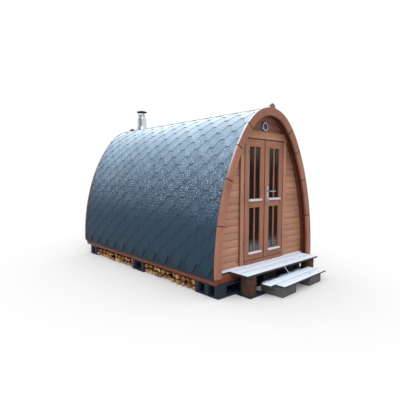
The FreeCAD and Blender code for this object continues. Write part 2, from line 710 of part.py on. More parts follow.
def handle():
    z0 = LEAF_Z + PLATE_BOTTOM
    z1 = z0 + PLATE_HEIGHT
    half = PLATE_WIDTH / 2
    plate = box(PLATE_CENTRE - half, PLATE_CENTRE + half, PLATE_Y, PLATE_Y + PLATE_THICKNESS,
                z0 + half, z1 - half)
    for z in (z0 + half, z1 - half):
        end = Part.makeCylinder(half, PLATE_THICKNESS, V(PLATE_CENTRE, PLATE_Y, z), V(0, 1, 0))
        plate = plate.fuse(end)
    key_z = LEAF_Z + LEVER_HEIGHT - KEYHOLE_BELOW + 20.0
    hole = Part.makeCylinder(KEYHOLE_RADIUS, 40, V(PLATE_CENTRE, PLATE_Y - 5, key_z), V(0, 1, 0))
    slot = box(PLATE_CENTRE - 3, PLATE_CENTRE + 3, PLATE_Y - 5, PLATE_Y + 35, key_z - 20, key_z)
    save("handle_plate", plate.removeSplitter().cut(hole).cut(slot))
    lever_z = LEAF_Z + LEVER_HEIGHT
    back = PLATE_Y - FIT
    rose = Part.makeCylinder(ROSE_RADIUS, 8, V(PLATE_CENTRE, back - 8, lever_z), V(0, 1, 0))
    neck = Part.makeCylinder(LEVER_RADIUS, LEVER_REACH, V(PLATE_CENTRE, back - LEVER_REACH, lever_z),
                             V(0, 1, 0))
    grip = Part.makeCylinder(LEVER_RADIUS, LEVER_LENGTH,
                             V(PLATE_CENTRE, back - LEVER_REACH, lever_z), V(1, 0, 0))
    elbow = Part.makeSphere(LEVER_RADIUS, V(PLATE_CENTRE, back - LEVER_REACH, lever_z))
    tip = Part.makeSphere(LEVER_RADIUS, V(PLATE_CENTRE + LEVER_LENGTH, back - LEVER_REACH, lever_z))
    save("handle_lever", rose.fuse(neck).fuse(grip).fuse(elbow).fuse(tip).removeSplitter())


# Vent and chimney

def vent():
    back = WALL_FRONT - FIT
    ring = revolved([(VENT_HOLE, 0), (VENT_RADIUS, 0), (VENT_RADIUS, VENT_LIP),
                     (VENT_RADIUS - 8, VENT_PROUD), (VENT_HOLE, VENT_PROUD)], 0, 0)
    pipe = revolved([(VENT_HOLE - 3, -WALL_THICKNESS), (VENT_HOLE - FIT, -WALL_THICKNESS),
                     (VENT_HOLE - FIT, 1), (VENT_HOLE + 3, 1), (VENT_HOLE + 3, 6),
                     (VENT_HOLE - 3, 6)], 0, 0)
    ring = ring.fuse(pipe).removeSplitter()
    disc = revolved([(0, 4), (VENT_HOLE - 3 - FIT, 4), (VENT_HOLE - 3 - FIT, 10),
                     (VENT_HOLE - 12, 16), (12, 18), (10, VENT_PROUD - 4), (0, VENT_PROUD - 4)],
                    0, 0)
    for name, shape in (("vent_ring", ring), ("vent_disc", disc)):
        shape.rotate(V(0, 0, 0), V(1, 0, 0), 90)
        shape.translate(V(0, back, VENT_Z))
        save(name, shape)


def chimney():
    x, y = 0.0, REAR - CHIMNEY_FROM_REAR
    body, neck, wall = CHIMNEY_BODY, CHIMNEY_NECK, CHIMNEY_WALL
    low = TOP_Z - CHIMNEY_INSIDE
    pipe = revolved([(neck - wall, low), (body, low), (body, TOP_Z + BODY_TOP),
                     (neck, TOP_Z + NECK_BOTTOM), (neck, TOP_Z + NECK_TOP),
                     (neck - wall, TOP_Z + NECK_TOP)], x, y)
    save("chimney_pipe", pipe)
    sheet = FLASHING_SHEET
    clear = body + FIT
    cone = revolved([(clear, TOP_Z + FLASHING_TOP), (clear + sheet, TOP_Z + FLASHING_TOP),
                     (FLASHING_RADIUS, TOP_Z - 60), (FLASHING_RADIUS - sheet, TOP_Z - 60),
                     (clear, TOP_Z + FLASHING_TOP - 20)], x, y)
    reach = 2 * FLASHING_RADIUS
    roof = arch_block(ARCH_PROUD - FIT, y - reach, y + reach, FOOT_Z)
    save("chimney_flashing", cone.cut(roof))
    cap = revolved([(0, TOP_Z + CAP_TOP), (CAP_RADIUS, TOP_Z + CAP_BOTTOM + CAP_RIM),
                    (CAP_RADIUS, TOP_Z + CAP_BOTTOM), (CAP_RADIUS - CAP_SHEET, TOP_Z + CAP_BOTTOM),
                    (CAP_RADIUS - CAP_SHEET, TOP_Z + CAP_BOTTOM + CAP_RIM - CAP_SHEET),
                    (0, TOP_Z + CAP_TOP - CAP_SHEET)], x, y)
    for i in range(CAP_STRUTS):
        a = 2 * pi * i / CAP_STRUTS + 0.6
        r = neck + STRUT_RADIUS + FIT
        strut = cylinder(STRUT_RADIUS, x + r * cos(a), y + r * sin(a),
                         TOP_Z + NECK_BOTTOM + 8, TOP_Z + CAP_BOTTOM + CAP_RIM + 8)
        cap = cap.fuse(strut)
    save("chimney_cap", cap.removeSplitter())


os.makedirs("parts", exist_ok=True)
end_arch("front", FRONT, SHELL_FRONT)
end_arch("rear", SHELL_REAR, REAR)
shell()
front_wall()
rear_wall()
end_trims()
floor()
base_pallets()
firewood()
deck()
step()
lath()
door_frame()
door_casing()
threshold()
hinges()
doors()
handle()
vent()
chimney()
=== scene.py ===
import json
import math
import random

import bmesh
import bpy
import numpy as np
from mathutils import Matrix, Vector, noise


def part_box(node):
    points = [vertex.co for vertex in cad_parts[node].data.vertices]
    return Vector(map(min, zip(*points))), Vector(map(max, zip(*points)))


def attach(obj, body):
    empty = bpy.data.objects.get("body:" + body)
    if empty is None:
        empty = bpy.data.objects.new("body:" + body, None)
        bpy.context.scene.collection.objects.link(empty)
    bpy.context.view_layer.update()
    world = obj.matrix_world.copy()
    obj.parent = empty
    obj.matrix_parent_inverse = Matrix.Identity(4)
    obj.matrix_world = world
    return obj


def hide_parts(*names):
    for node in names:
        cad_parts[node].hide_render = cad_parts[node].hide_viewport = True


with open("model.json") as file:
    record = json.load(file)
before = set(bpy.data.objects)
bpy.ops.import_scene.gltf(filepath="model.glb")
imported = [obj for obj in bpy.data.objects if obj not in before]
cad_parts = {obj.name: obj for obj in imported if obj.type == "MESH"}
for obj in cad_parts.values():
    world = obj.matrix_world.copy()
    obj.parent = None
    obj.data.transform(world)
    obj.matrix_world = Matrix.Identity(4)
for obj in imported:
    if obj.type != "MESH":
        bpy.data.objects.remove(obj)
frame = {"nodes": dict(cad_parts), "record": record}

bl_info = {
    "name": "Arched sauna cabin",
    "version": (1, 0, 0),
    "blender": (4, 5, 0),
    "location": "View3D > Sidebar > Sauna",
    "description": "Dresses the cabin's fixed model with shingles, boards, joinery and frost",
    "category": "Object",
}

# Outline of the arch, in metres and degrees: half the width at the foot, height of the foot,
# lean of the legs, then radius and turn of each arc. The crown arc closes the outline.
HALF_WIDTH = 1.200
FOOT_Z = 0.280
FOOT_LEAN = 1.46
ARCS = ((3.792, 20.7), (3.017, 13.4), (1.258, 17.3))
SHELL_FRONT, SHELL_REAR = -1.686, 2.276
SHELL_OFFSET = 0.019      # outer face of the staves inside the outline
STAVE_OFFSET = 0.063      # inner face of the staves
FLUE_Y = 1.868
FLUE_HOLE = 0.118
CROWN_HEADING = 124.0     # where the crown panel of the shell begins
UPPER_JOINTS, LOWER_JOINTS = (119.0, 132.2), (99.4, 109.24)   # headings of the saw cuts
FOOT_DROP = 0.042         # the shingles hang this far below the foot
ARCH_MIDDLE = 0.060       # middle of the arch boards inside the outline
SHARP_ANGLE = 25.0        # edges of CAD pieces sharper than this are rounded

# Ridge caps, in metres
CAP_LENGTH, CAP_HALF_WIDTH, CAP_STEP = 0.26, 0.125, 0.165

# Joints of the end walls, and marks in the saw cuts of the arches with black fillers in them, which
# are painted shade
WALL_JOINTS, WALL_CUTTER = 22, 2.6
CUT_REACH = 0.013         # the wood is dark this far from a saw cut
CUT_SHADE_HALF_THICKNESS, CUT_SHADE_HALF_HEIGHT = 0.0019, 0.0585

# Leaves: heights of rails from the foot or the head of the leaf, half a glazing bar, a bead
GLASS_GROOVE = 0.0077
BOTTOM_RAIL, MIDDLE_RAIL_LOW, MIDDLE_RAIL_HIGH, TOP_RAIL = 0.1315, 0.8045, 0.9365, 0.112
BAR_HALF, BEAD = 0.011, 0.004
LAP = 0.0002              # pieces of a leaf run this far into one another

# Firewood
SPLIT_CHANCE, FULL_HEIGHT_CHANCE = 0.14, 0.7

# Light and camera
KEY_ENERGY, KEY_SPREAD, KEY_TURN, KEY_TILT = 1.15, 50, -38, 48
LENS, SENSOR = 31.353, 36.0
EYE = (-4.4307, -4.9394, 1.6672)
CAMERA_YAW, CAMERA_PITCH, CAMERA_ROLL = 0.7405, -0.0697, 0.0031
MATERIALS = {}


# Nodes and small tools

class Wire:
    """One output socket. Arithmetic on it adds Math nodes."""

    def __init__(self, graph, socket):
        self.graph = graph
        self.socket = socket

    def __add__(self, other):
        return self.graph.math("ADD", self, other)

    def __sub__(self, other):
        return self.graph.math("SUBTRACT", self, other)

    def __mul__(self, other):
        return self.graph.math("MULTIPLY", self, other)

    def __truediv__(self, other):
        return self.graph.math("DIVIDE", self, other)

    def over(self, edge):
        return self.graph.math("GREATER_THAN", self, edge)

    def under(self, edge):
        return self.graph.math("LESS_THAN", self, edge)


class Graph:
    """Adds nodes to a tree, from left to right, and links them."""

    def __init__(self, tree):
        self.tree = tree
        self.count = 0

    def plug(self, socket, value):
        if isinstance(value, Wire):
            self.tree.links.new(value.socket, socket)
        elif value is not None:
            socket.default_value = value

    def add(self, kind, inputs=None, **settings):
        node = self.tree.nodes.new(kind)
        node.location = (self.count % 16 * 200, self.count // 16 * -320)
        self.count += 1
        for key, value in settings.items():
            setattr(node, key, value)
        for key, value in (inputs or {}).items():
            self.plug(node.inputs[key], value)
        return node

    def out(self, kind, output, inputs=None, **settings):
        return Wire(self, self.add(kind, inputs, **settings).outputs[output])

    def math(self, operation, *values, clamp=False):
        return self.out("ShaderNodeMath", 0, dict(enumerate(values)), operation=operation,
                        use_clamp=clamp)

    def vector(self, operation, *values):
        output = 1 if operation == "LENGTH" else 0
        return self.out("ShaderNodeVectorMath", output, dict(enumerate(values)),
                        operation=operation)

    def scale(self, vector, factor):
        return self.out("ShaderNodeVectorMath", 0, {0: vector, "Scale": factor}, operation="SCALE")

    def split(self, vector):
        node = self.add("ShaderNodeSeparateXYZ", {0: vector})
        return [Wire(self, socket) for socket in node.outputs]

    def join(self, x, y, z):
        return self.out("ShaderNodeCombineXYZ", 0, {0: x, 1: y, 2: z})

    def smooth(self, value, low, high, to_low=0.0, to_high=1.0):
        return self.out("ShaderNodeMapRange", 0,
                        {0: value, 1: low, 2: high, 3: to_low, 4: to_high},
                        interpolation_type="SMOOTHSTEP")

    def noise(self, vector, scale, detail=3.0, rough=0.5, distortion=0.0):
        return self.out("ShaderNodeTexNoise", "Fac",
                        {"Vector": vector, "Scale": scale, "Detail": detail,
                         "Roughness": rough, "Distortion": distortion})

    def mix(self, factor, a, b, blend="MIX"):
        return self.out("ShaderNodeMix", 2, {0: factor, 6: a, 7: b}, data_type="RGBA",
                        blend_type=blend)

    def grey(self, level):
        """The same level in all three channels."""
        return self.join(level, level, level)

    def dim(self, colour, level):
        """A colour times a level."""
        return self.mix(1.0, colour, self.grey(level), blend="MULTIPLY")

    def rest(self, value):
        """What a value lacks to 1."""
        return self.math("SUBTRACT", 1.0, value)

    def ramp(self, value, *stops):
        node = self.add("ShaderNodeValToRGB", {0: value})
        elements = node.color_ramp.elements
        elements[0].position, elements[0].color = stops[0]
        elements[1].position, elements[1].color = stops[-1]
        for position, colour in stops[1:-1]:
            elements.new(position).color = colour
        return Wire(self, node.outputs[0])

    def store(self, geometry, name, value, data_type="FLOAT", domain="FACE"):
        return self.out("GeometryNodeStoreNamedAttribute", 0, {
            "Geometry": geometry, "Name": name, "Value": value},
            data_type=data_type, domain=domain)

    def joined(self, first, second):
        """Two geometries in one."""
        node = self.add("GeometryNodeJoinGeometry")
        self.tree.links.new(first.socket, node.inputs[0])
        self.tree.links.new(second.socket, node.inputs[0])
        return Wire(self, node.outputs[0])

    def own_tones(self, instances, seed):
        """Gives each instance its own tone and makes the instances real."""
        tone = self.add("FunctionNodeRandomValue", {2: 0.0, 3: 1.0, "Seed": seed},
                        data_type="FLOAT")
        instances = self.store(instances, "tone", Wire(self, tone.outputs[1]),
                               domain="INSTANCE")
        return self.out("GeometryNodeRealizeInstances", 0, {"Geometry": instances})

    def finish(self, end, geometry, material):
        """Sets the material and ends a tree."""
        done = self.out("GeometryNodeSetMaterial", 0, {"Geometry": geometry,
                                                       "Material": material})
        self.plug(end.inputs[0], done)


def rgb(red, green, blue):
    """A colour as it is seen, from 0 to 255, for a shader socket."""
    parts = [c / 255 for c in (red, green, blue)]
    line = [c / 12.92 if c <= 0.04045 else ((c + 0.055) / 1.055) ** 2.4 for c in parts]
    return (line[0], line[1], line[2], 1.0)


def node_group(name, kind, inputs, outputs):
    """An empty node group, its graph, its inputs as wires and its output node."""
    tree = bpy.data.node_groups.new(name, kind)
    for label, socket, default in inputs:
        made = tree.interface.new_socket(label, in_out="INPUT", socket_type="NodeSocket" + socket)
        if default is not None:
            made.default_value = default
    for label, socket in outputs:
        tree.interface.new_socket(label, in_out="OUTPUT", socket_type="NodeSocket" + socket)
    graph = Graph(tree)
    given = graph.add("NodeGroupInput")
    wires = {label: Wire(graph, given.outputs[label]) for label, _, _ in inputs}
    return tree, graph, wires, graph.add("NodeGroupOutput")


def use_group(graph, name, inputs):
    node = graph.add("ShaderNodeGroup")
    node.node_tree = bpy.data.node_groups[name]
    for key, value in inputs.items():
        graph.plug(node.inputs[key], value)
    return {socket.name: Wire(graph, socket) for socket in node.outputs}


def new_material(name):
    """A material with a Principled shader. Returns it with its graph and shader node."""
    material = bpy.data.materials.new(name)
    material.use_nodes = True
    graph = Graph(material.node_tree)
    material.node_tree.nodes.clear()
    shader = graph.add("ShaderNodeBsdfPrincipled")
    output = graph.add("ShaderNodeOutputMaterial")
    material.node_tree.links.new(shader.outputs[0], output.inputs[0])
    MATERIALS[name] = material
    return material, graph, shader


def bump(graph, shader, height, distance, strength=1.0):
    made = graph.out("ShaderNodeBump", 0, {"Height": height, "Distance": distance,
                                           "Strength": strength})
    graph.plug(shader.inputs["Normal"], made)


# Outline of the arch

def arcs(offset):
    """Centre, radius, first and last heading of each arc of the right side, foot to crown."""
    heading, x, z = 90.0 - FOOT_LEAN, HALF_WIDTH, FOOT_Z
    found = []
    for radius, turn in ARCS:
        a = math.radians(heading)
        cx, cz = x - radius * math.sin(a), z + radius * math.cos(a)
        found.append((cx, cz, radius - offset, heading, heading + turn))
        heading += turn
        a = math.radians(heading)
        x, z = cx + radius * math.sin(a), cz - radius * math.cos(a)
    crown = x / math.sin(a)
    found.append((0.0, z + crown * math.cos(a), crown - offset, heading, 180.0))
    return found


def outline_points(offset, below, step=0.012):
    """Points of the left side of the outline moved inwards, from below the foot to the crown."""
    points = []
    for cx, cz, radius, first, last in arcs(offset):
        count = max(2, round(radius * math.radians(last - first) / step))
        for i in range(count + (last == 180.0)):
            a = math.radians(first + (last - first) * i / count)
            points.append(Vector((-(cx + radius * math.sin(a)), 0.0, cz - radius * math.cos(a))))
    lean = math.radians(FOOT_LEAN)
    foot = points[0] + Vector((math.sin(lean), 0.0, -math.cos(lean))) * below
    return [foot] + points


def outline_curve(name, offset, below):
    """The left side of the outline as a curve, which guides the repeated pieces."""
    points = outline_points(offset, below)
    curve = bpy.data.curves.new(name, "CURVE")
    curve.dimensions = "3D"
    spline = curve.splines.new("POLY")
    spline.points.add(len(points) - 1)
    for point, place in zip(spline.points, points):
        point.co = (*place, 1.0)
    made = bpy.data.objects.new(name, curve)
    bpy.context.scene.collection.objects.link(made)
    length = sum((b - a).length for a, b in zip(points, points[1:]))
    return made, length


def outline_length():
    return sum(radius * math.radians(last - first) for _, _, radius, first, last in arcs(0.0))


def distance_at(heading):
    """How far up the outline this heading lies."""
    travelled = 0.0
    for _, _, radius, first, last in arcs(0.0):
        travelled += radius * math.radians(min(heading, last) - first)
        if heading <= last:
            return travelled


def place_on(distance, offset):
    """A point at a distance up the right side and on over the crown, moved inwards."""
    length = outline_length()
    side = 1.0 if distance <= length else -1.0
    rest = min(distance, 2 * length - distance)
    for cx, cz, radius, first, last in arcs(0.0):
        span = radius * math.radians(last - first)
        if rest <= span or last == 180.0:
            a = math.radians(first) + rest / radius
            return (side * (cx + (radius - offset) * math.sin(a)),
                    cz - (radius - offset) * math.cos(a))
        rest -= span


# Meshes

def body_of(node):
    for body, members in frame["record"]["behaviour"]["bodies"].items():
        if node in members:
            return body
    raise RuntimeError("no body holds " + node)


def slot_of(node):
    for row in frame["record"]["subparts"]:
        if row["node"] == node:
            return row["material_slot"]
    raise RuntimeError("no slot for " + node)


def settle(made, nodes, materials, body=None, slot=None):
    """Gives a finished piece its materials and its body, and hides the CAD nodes it stands for."""
    for material in materials:
        if material.name not in made.data.materials:
            made.data.materials.append(material)
    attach(made, body or body_of(nodes[0]))
    if nodes:
        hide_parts(*nodes)
    slot or slot_of(nodes[0])
    return made


def link_mesh(name, mesh):
    made = bpy.data.objects.new(name, mesh)
    bpy.context.scene.collection.objects.link(made)
    return made


def sharpen(mesh, angle=35.0):
    mesh.polygons.foreach_set("use_smooth", [True] * len(mesh.polygons))
    mesh.set_sharp_from_angle(angle=math.radians(angle))


def islands(bm):
    """The separate bodies of a mesh, as lists of vertices, in the mesh's own order."""
    seen, found = set(), []
    for seed in bm.verts:
        if seed in seen:
            continue
        seen.add(seed)
        stack, members = [seed], [seed]
        while stack:
            for edge in stack.pop().link_edges:
                for vert in edge.verts:
                    if vert not in seen:
                        seen.add(vert)
                        stack.append(vert)
                        members.append(vert)
        found.append(members)
    return found


def grain_layers(bm):
    verts, faces = bm.verts.layers.float_vector, bm.faces.layers.float
    return (verts.get("grain") or verts.new("grain"), faces.get("tone") or faces.new("tone"))


def grain_by_body(bm, seed):
    """Each separate board gets its grain along its own longest direction, and its own tone."""
    grain, tone = grain_layers(bm)
    chance = random.Random(seed)
    groups = sorted(islands(bm), key=lambda vs: tuple(round(c, 3) for c in min(v.co for v in vs)))
    for members in groups:
        points = np.array([v.co for v in members])
        middle = points.mean(0)
        _, axes = np.linalg.eigh(np.cov((points - middle).T))
        along, across, deep = (Vector(axes[:, k]).normalized() for k in (2, 1, 0))
        shift = Vector([chance.uniform(-3, 3) for _ in range(3)])
        value = chance.random()
        for vert in members:
            away = vert.co - Vector(middle)
            vert[grain] = Vector((away.dot(along), away.dot(across), away.dot(deep))) + shift
            for face in vert.link_faces:
                face[tone] = value


def clean_copy(node):
    """A merged copy of a CAD node's mesh, with its flat faces whole."""
    bm = bmesh.new()
    bm.from_mesh(frame["nodes"][node].data)
    bmesh.ops.remove_doubles(bm, verts=bm.verts, dist=1e-5)
    bmesh.ops.dissolve_limit(bm, angle_limit=math.radians(1.0), verts=bm.verts, edges=bm.edges,
                             delimit={"NORMAL"})
    return bm


def corners_of(members):
    """The low and high corner of the box round some vertices."""
    return (Vector(min(v.co[k] for v in members) for k in range(3)),
            Vector(max(v.co[k] for v in members) for k in range(3)))


def soften(bm, width):
    """Rounds the sharp edges."""
    edges = [e for e in bm.edges if len(e.link_faces) == 2
             and e.calc_face_angle(0.0) > math.radians(SHARP_ANGLE)]
    if width > 0:
        bmesh.ops.bevel(bm, geom=edges, offset=width, segments=2, profile=0.6,
                        affect="EDGES", clamp_overlap=True)


def dress(name, nodes, material, width, seed):
    """One piece from one or more CAD nodes of one body, with rounded edges and a grain."""
    whole = bmesh.new()
    for node in nodes:
        bm = clean_copy(node)
        soften(bm, width)
        part = bpy.data.meshes.new("part")
        bm.to_mesh(part)
        bm.free()
        whole.from_mesh(part)
        bpy.data.meshes.remove(part)
    grain_by_body(whole, seed)
    mesh = bpy.data.meshes.new(name)
    whole.to_mesh(mesh)
    whole.free()
    sharpen(mesh)
    return settle(link_mesh(name, mesh), nodes, [MATERIALS[material]])


def add_board(bm, low, high, width=0.002):
    """One bevelled board between two corners."""
    low, high = Vector(low), Vector(high)
    made = bmesh.ops.create_cube(bm, size=1.0)["verts"]
    size = high - low
    for vert in made:
        vert.co = Vector(vert.co[k] * size[k] for k in range(3)) + (low + high) / 2
    edges = list({edge for vert in made for edge in vert.link_edges})
    bmesh.ops.bevel(bm, geom=edges, offset=min(width, min(size) * 0.4), segments=2, profile=0.6,
                    affect="EDGES")


def board_piece(name, bm, nodes, materials, seed, body=None, slot=None, vary=1.0):
    """One piece from boards built here. Its tones vary round the middle one."""
    grain_by_body(bm, seed)
    tone = grain_layers(bm)[1]
    for face in bm.faces:
        face[tone] = 0.5 + (face[tone] - 0.5) * vary
    mesh = bpy.data.meshes.new(name)
    bm.to_mesh(mesh)
    bm.free()
    sharpen(mesh)
    return settle(link_mesh(name, mesh), nodes, materials, body, slot)


# Geometry node trees

def grow(name, tree, values, source=None):
    """Runs a tree on a new object and keeps the result as a plain mesh."""
    mesh = bpy.data.meshes.new(name + "_start")
    if source is not None:
        bm = clean_copy(source)
        bm.to_mesh(mesh)
        bm.free()
    start = link_mesh(name + "_start", mesh)
    modifier = start.modifiers.new("grow", "NODES")
    modifier.node_group = tree
    for item in tree.interface.items_tree:
        if item.in_out == "INPUT" and item.name in values:
            modifier[item.identifier] = values[item.name]
    bpy.context.view_layer.update()
    graph = bpy.context.evaluated_depsgraph_get()
    result = bpy.data.meshes.new_from_object(start.evaluated_get(graph), depsgraph=graph,
                                             preserve_all_data_layers=True)
    result.name = name
    start.modifiers.remove(modifier)
    bpy.data.objects.remove(start)
    if not result.polygons:
        raise RuntimeError(name + " came out empty")
    return result


def shingle_tree():
    """Rows of tabs laid out flat, lapped, then bent over the outline curve, both sides."""
    tree, g, at, end = node_group("shingle rows", "GeometryNodeTree", [
        ("Outline", "Object", None), ("Start", "Float", 0.03), ("Length", "Float", 2.9),
        ("Pitch", "Float", 0.328), ("Exposure", "Float", 0.1335), ("Flat", "Float", 0.085),
        ("Thickness", "Float", 0.004), ("Rise", "Float", 0.009), ("Rows", "Int", 22),
        ("Columns", "Int", 14), ("First Y", "Float", 0.0), ("Front", "Float", 0.0),
        ("Rear", "Float", 1.0), ("Unevenness", "Float", 0.002), ("Flue Y", "Float", 0.0),
        ("Flue Radius", "Float", 0.1), ("Strip", "Float", 0.25), ("Seed", "Int", 3),
        ("Material", "Material", None)], [("Geometry", "Geometry")])
    e = at["Exposure"]
    # one tab, u along the cabin and v up the slope
    grid = g.add("GeometryNodeMeshGrid", {"Size X": 1.0, "Size Y": 1.0, "Vertices X": 5,
                                          "Vertices Y": 8})
    flat = Wire(g, grid.outputs[0])
    x, y, _ = g.split(g.out("GeometryNodeInputPosition", 0))
    level = g.math("ROUND", (y + 0.5) * 7.0)
    below = level * (1.0 / 3.0)
    above = g.math("ADD", (level - 4.0) * 0.38, 1.004)
    is_tab = level.under(3.5)
    v = (below * is_tab + above * g.rest(is_tab)) * e
    slant = (at["Pitch"] - at["Flat"] * 2.0) * 0.5
    narrow = at["Flat"] * 0.5 + slant * below
    half = narrow * is_tab + at["Pitch"] * 0.5 * g.rest(is_tab)
    u = x * 2.0 * half
    reach = e * 2.15
    top = at["Rise"] * g.rest(v / reach)
    flat = g.out("GeometryNodeSetPosition", 0, {"Geometry": flat, "Position": g.join(u, v, top)})
    flat = g.store(flat, "tab", g.join(u, v, 0.0), "FLOAT_VECTOR", "POINT")
    raised = g.add("GeometryNodeExtrudeMesh", {"Mesh": flat, "Offset": (0.0, 0.0, -1.0),
                                               "Offset Scale": at["Thickness"],
                                               "Individual": False})
    edge_mark = g.store(Wire(g, raised.outputs[0]), "edge", Wire(g, raised.outputs["Side"]))
    under = g.out("GeometryNodeFlipFaces", 0, {"Mesh": edge_mark})
    tab = g.out("GeometryNodeMergeByDistance", 0, {"Geometry": g.joined(under, flat),
                                                   "Distance": 0.00005})
    # places of the tabs
    total = g.math("MULTIPLY", at["Rows"], at["Columns"])
    points = g.out("GeometryNodePoints", 0, {"Count": total})
    index = g.out("GeometryNodeInputIndex", 0)
    row = g.math("FLOOR", index / at["Columns"])
    column = index - row * at["Columns"]
    stagger = g.math("MODULO", row, 2.0) * 0.5
    place = g.join(at["First Y"] + (column + stagger) * at["Pitch"], row * e, 0.0)
    points = g.out("GeometryNodeSetPosition", 0, {"Geometry": points, "Position": place})
    turn = g.out("FunctionNodeRandomValue", 0, {0: (0.0, 0.0, -0.006), 1: (0.0, 0.0, 0.006),
                                               "Seed": at["Seed"]}, data_type="FLOAT_VECTOR")
    placed = g.out("GeometryNodeInstanceOnPoints", 0, {"Points": points, "Instance": tab,
                                                       "Rotation": turn})
    loose = g.own_tones(placed, at["Seed"])
    # a plain strip under the lowest row
    strip = g.add("GeometryNodeMeshGrid", {"Size X": at["Rear"] - at["Front"],
                                           "Size Y": at["Strip"], "Vertices X": 40,
                                           "Vertices Y": 14})
    lay = g.join((at["Rear"] + at["Front"]) * 0.5, at["Strip"] * 0.5 - at["Start"], 0.0032)
    strip = g.out("GeometryNodeTransform", 0, {"Geometry": Wire(g, strip.outputs[0]),
                                               "Translation": lay})
    strip = g.add("GeometryNodeExtrudeMesh", {"Mesh": strip, "Offset": (0.0, 0.0, -1.0),
                                              "Offset Scale": 0.0026, "Individual": False})
    strip = g.store(Wire(g, strip.outputs[0]), "tone", -1.6)
    strip = g.out("GeometryNodeFlipFaces", 0, {"Mesh": strip})
    loose = g.joined(loose, strip)
    # trim at the ends and the ridge, lift a little, then bend over the outline
    x, y, z = g.split(g.out("GeometryNodeInputPosition", 0))
    outside = g.math("ADD", x.under(at["Front"] - at["Pitch"] * 0.49),
                     x.over(at["Rear"] + at["Pitch"] * 0.49))
    tone_read = g.out("GeometryNodeInputNamedAttribute", 0, {"Name": "tone"}, data_type="FLOAT")
    tab_read = g.out("GeometryNodeInputNamedAttribute", 0, {"Name": "tab"},
                     data_type="FLOAT_VECTOR")
    _, tab_v, _ = g.split(tab_read)
    lift = at["Unevenness"] * tone_read * g.math("SUBTRACT", 1.0, tab_v / e, clamp=True)
    s = g.math("MINIMUM", y + at["Start"], at["Length"])
    along = g.math("MAXIMUM", g.math("MINIMUM", x, at["Rear"]), at["Front"])
    high = g.math("MAXIMUM", z + lift, 0.0004)
    info = g.add("GeometryNodeObjectInfo", {"Object": at["Outline"]},
                 transform_space="ORIGINAL")
    sample = g.add("GeometryNodeSampleCurve", {"Curves": Wire(g, info.outputs["Geometry"]),
                                               "Length": s}, mode="LENGTH", data_type="FLOAT")
    px, _, pz = g.split(Wire(g, sample.outputs["Position"]))
    tx, _, tz = g.split(Wire(g, sample.outputs["Tangent"]))
    bent = g.join(px - tz * high, along, pz + tx * high)
    kept = g.out("GeometryNodeDeleteGeometry", 0, {"Geometry": loose,
                                                   "Selection": outside.over(0.5)},
                 domain="FACE")
    kept = g.store(kept, "slope", s / at["Length"], domain="POINT")
    left = g.out("GeometryNodeSetPosition", 0, {"Geometry": kept, "Position": bent})
    left = g.out("GeometryNodeMergeByDistance", 0, {"Geometry": left, "Distance": 0.0001})
    mirror = g.out("GeometryNodeTransform", 0, {"Geometry": left, "Scale": (-1.0, 1.0, 1.0)})
    mirror = g.out("GeometryNodeFlipFaces", 0, {"Mesh": mirror})
    both = g.joined(left, mirror)
    x, y, _ = g.split(g.out("GeometryNodeInputPosition", 0))
    from_flue = g.vector("LENGTH", g.join(x, y - at["Flue Y"], 0.0))
    cut = g.out("GeometryNodeDeleteGeometry", 0, {
        "Geometry": both, "Selection": from_flue.under(at["Flue Radius"])}, domain="FACE")
    g.finish(end, cut, at["Material"])
    return tree


def line_tree():
    """Repeats a piece along a line, each a little turned and with its own tone."""
    tree, g, at, end = node_group("repeat along a line", "GeometryNodeTree", [
        ("Piece", "Object", None), ("Start", "Vector", (0, 0, 0)), ("Step", "Vector", (0, 0, 1)),
        ("Count", "Int", 2), ("Turn", "Vector", (0, 0, 0)), ("Spread", "Float", 0.01),
        ("Seed", "Int", 1), ("Material", "Material", None)], [("Geometry", "Geometry")])
    line = g.out("GeometryNodeMeshLine", 0, {"Count": at["Count"], "Start Location": at["Start"],
                                             "Offset": at["Step"]})
    info = g.add("GeometryNodeObjectInfo", {"Object": at["Piece"]}, transform_space="ORIGINAL")
    low = g.scale((-1.0, -1.0, -1.0), at["Spread"])
    high = g.scale((1.0, 1.0, 1.0), at["Spread"])
    turn = g.out("FunctionNodeRandomValue", 0, {0: low, 1: high, "Seed": at["Seed"]},
                 data_type="FLOAT_VECTOR")
    placed = g.out("GeometryNodeInstanceOnPoints", 0, {
        "Points": line, "Instance": Wire(g, info.outputs["Geometry"]),
        "Rotation": g.vector("ADD", at["Turn"], turn)})
    loose = g.own_tones(placed, at["Seed"])
    g.finish(end, loose, at["Material"])
    return tree


def groove_tree():
    """Cuts lines of grooves into a solid, on one face or on two."""
    tree, g, at, end = node_group("board joints", "GeometryNodeTree", [
        ("Geometry", "Geometry", None), ("Start", "Vector", (0, 0, 0)),
        ("Step", "Vector", (0, 0, 0.1)), ("Count", "Int", 10), ("Size", "Vector", (1, 0.01, 0.01)),
        ("Turn", "Vector", (0, 0, 0)), ("Other Face", "Vector", (0, 0, 0)),
        ("Material", "Material", None)], [("Geometry", "Geometry")])
    cutter = g.out("GeometryNodeMeshCube", 0, {"Size": at["Size"]})
    line = g.out("GeometryNodeMeshLine", 0, {"Count": at["Count"], "Start Location": at["Start"],
                                             "Offset": at["Step"]})
    other = g.out("GeometryNodeTransform", 0, {"Geometry": line, "Translation": at["Other Face"]})
    placed = g.out("GeometryNodeInstanceOnPoints", 0, {
        "Points": g.joined(line, other), "Instance": cutter, "Rotation": at["Turn"]})
    cutters = g.out("GeometryNodeRealizeInstances", 0, {"Geometry": placed})
    cut = g.out("GeometryNodeMeshBoolean", 0, {"Mesh 1": at["Geometry"], "Mesh 2": cutters},
                operation="DIFFERENCE", solver="EXACT")
    g.finish(end, cut, at["Material"])
    return tree


# Finishes

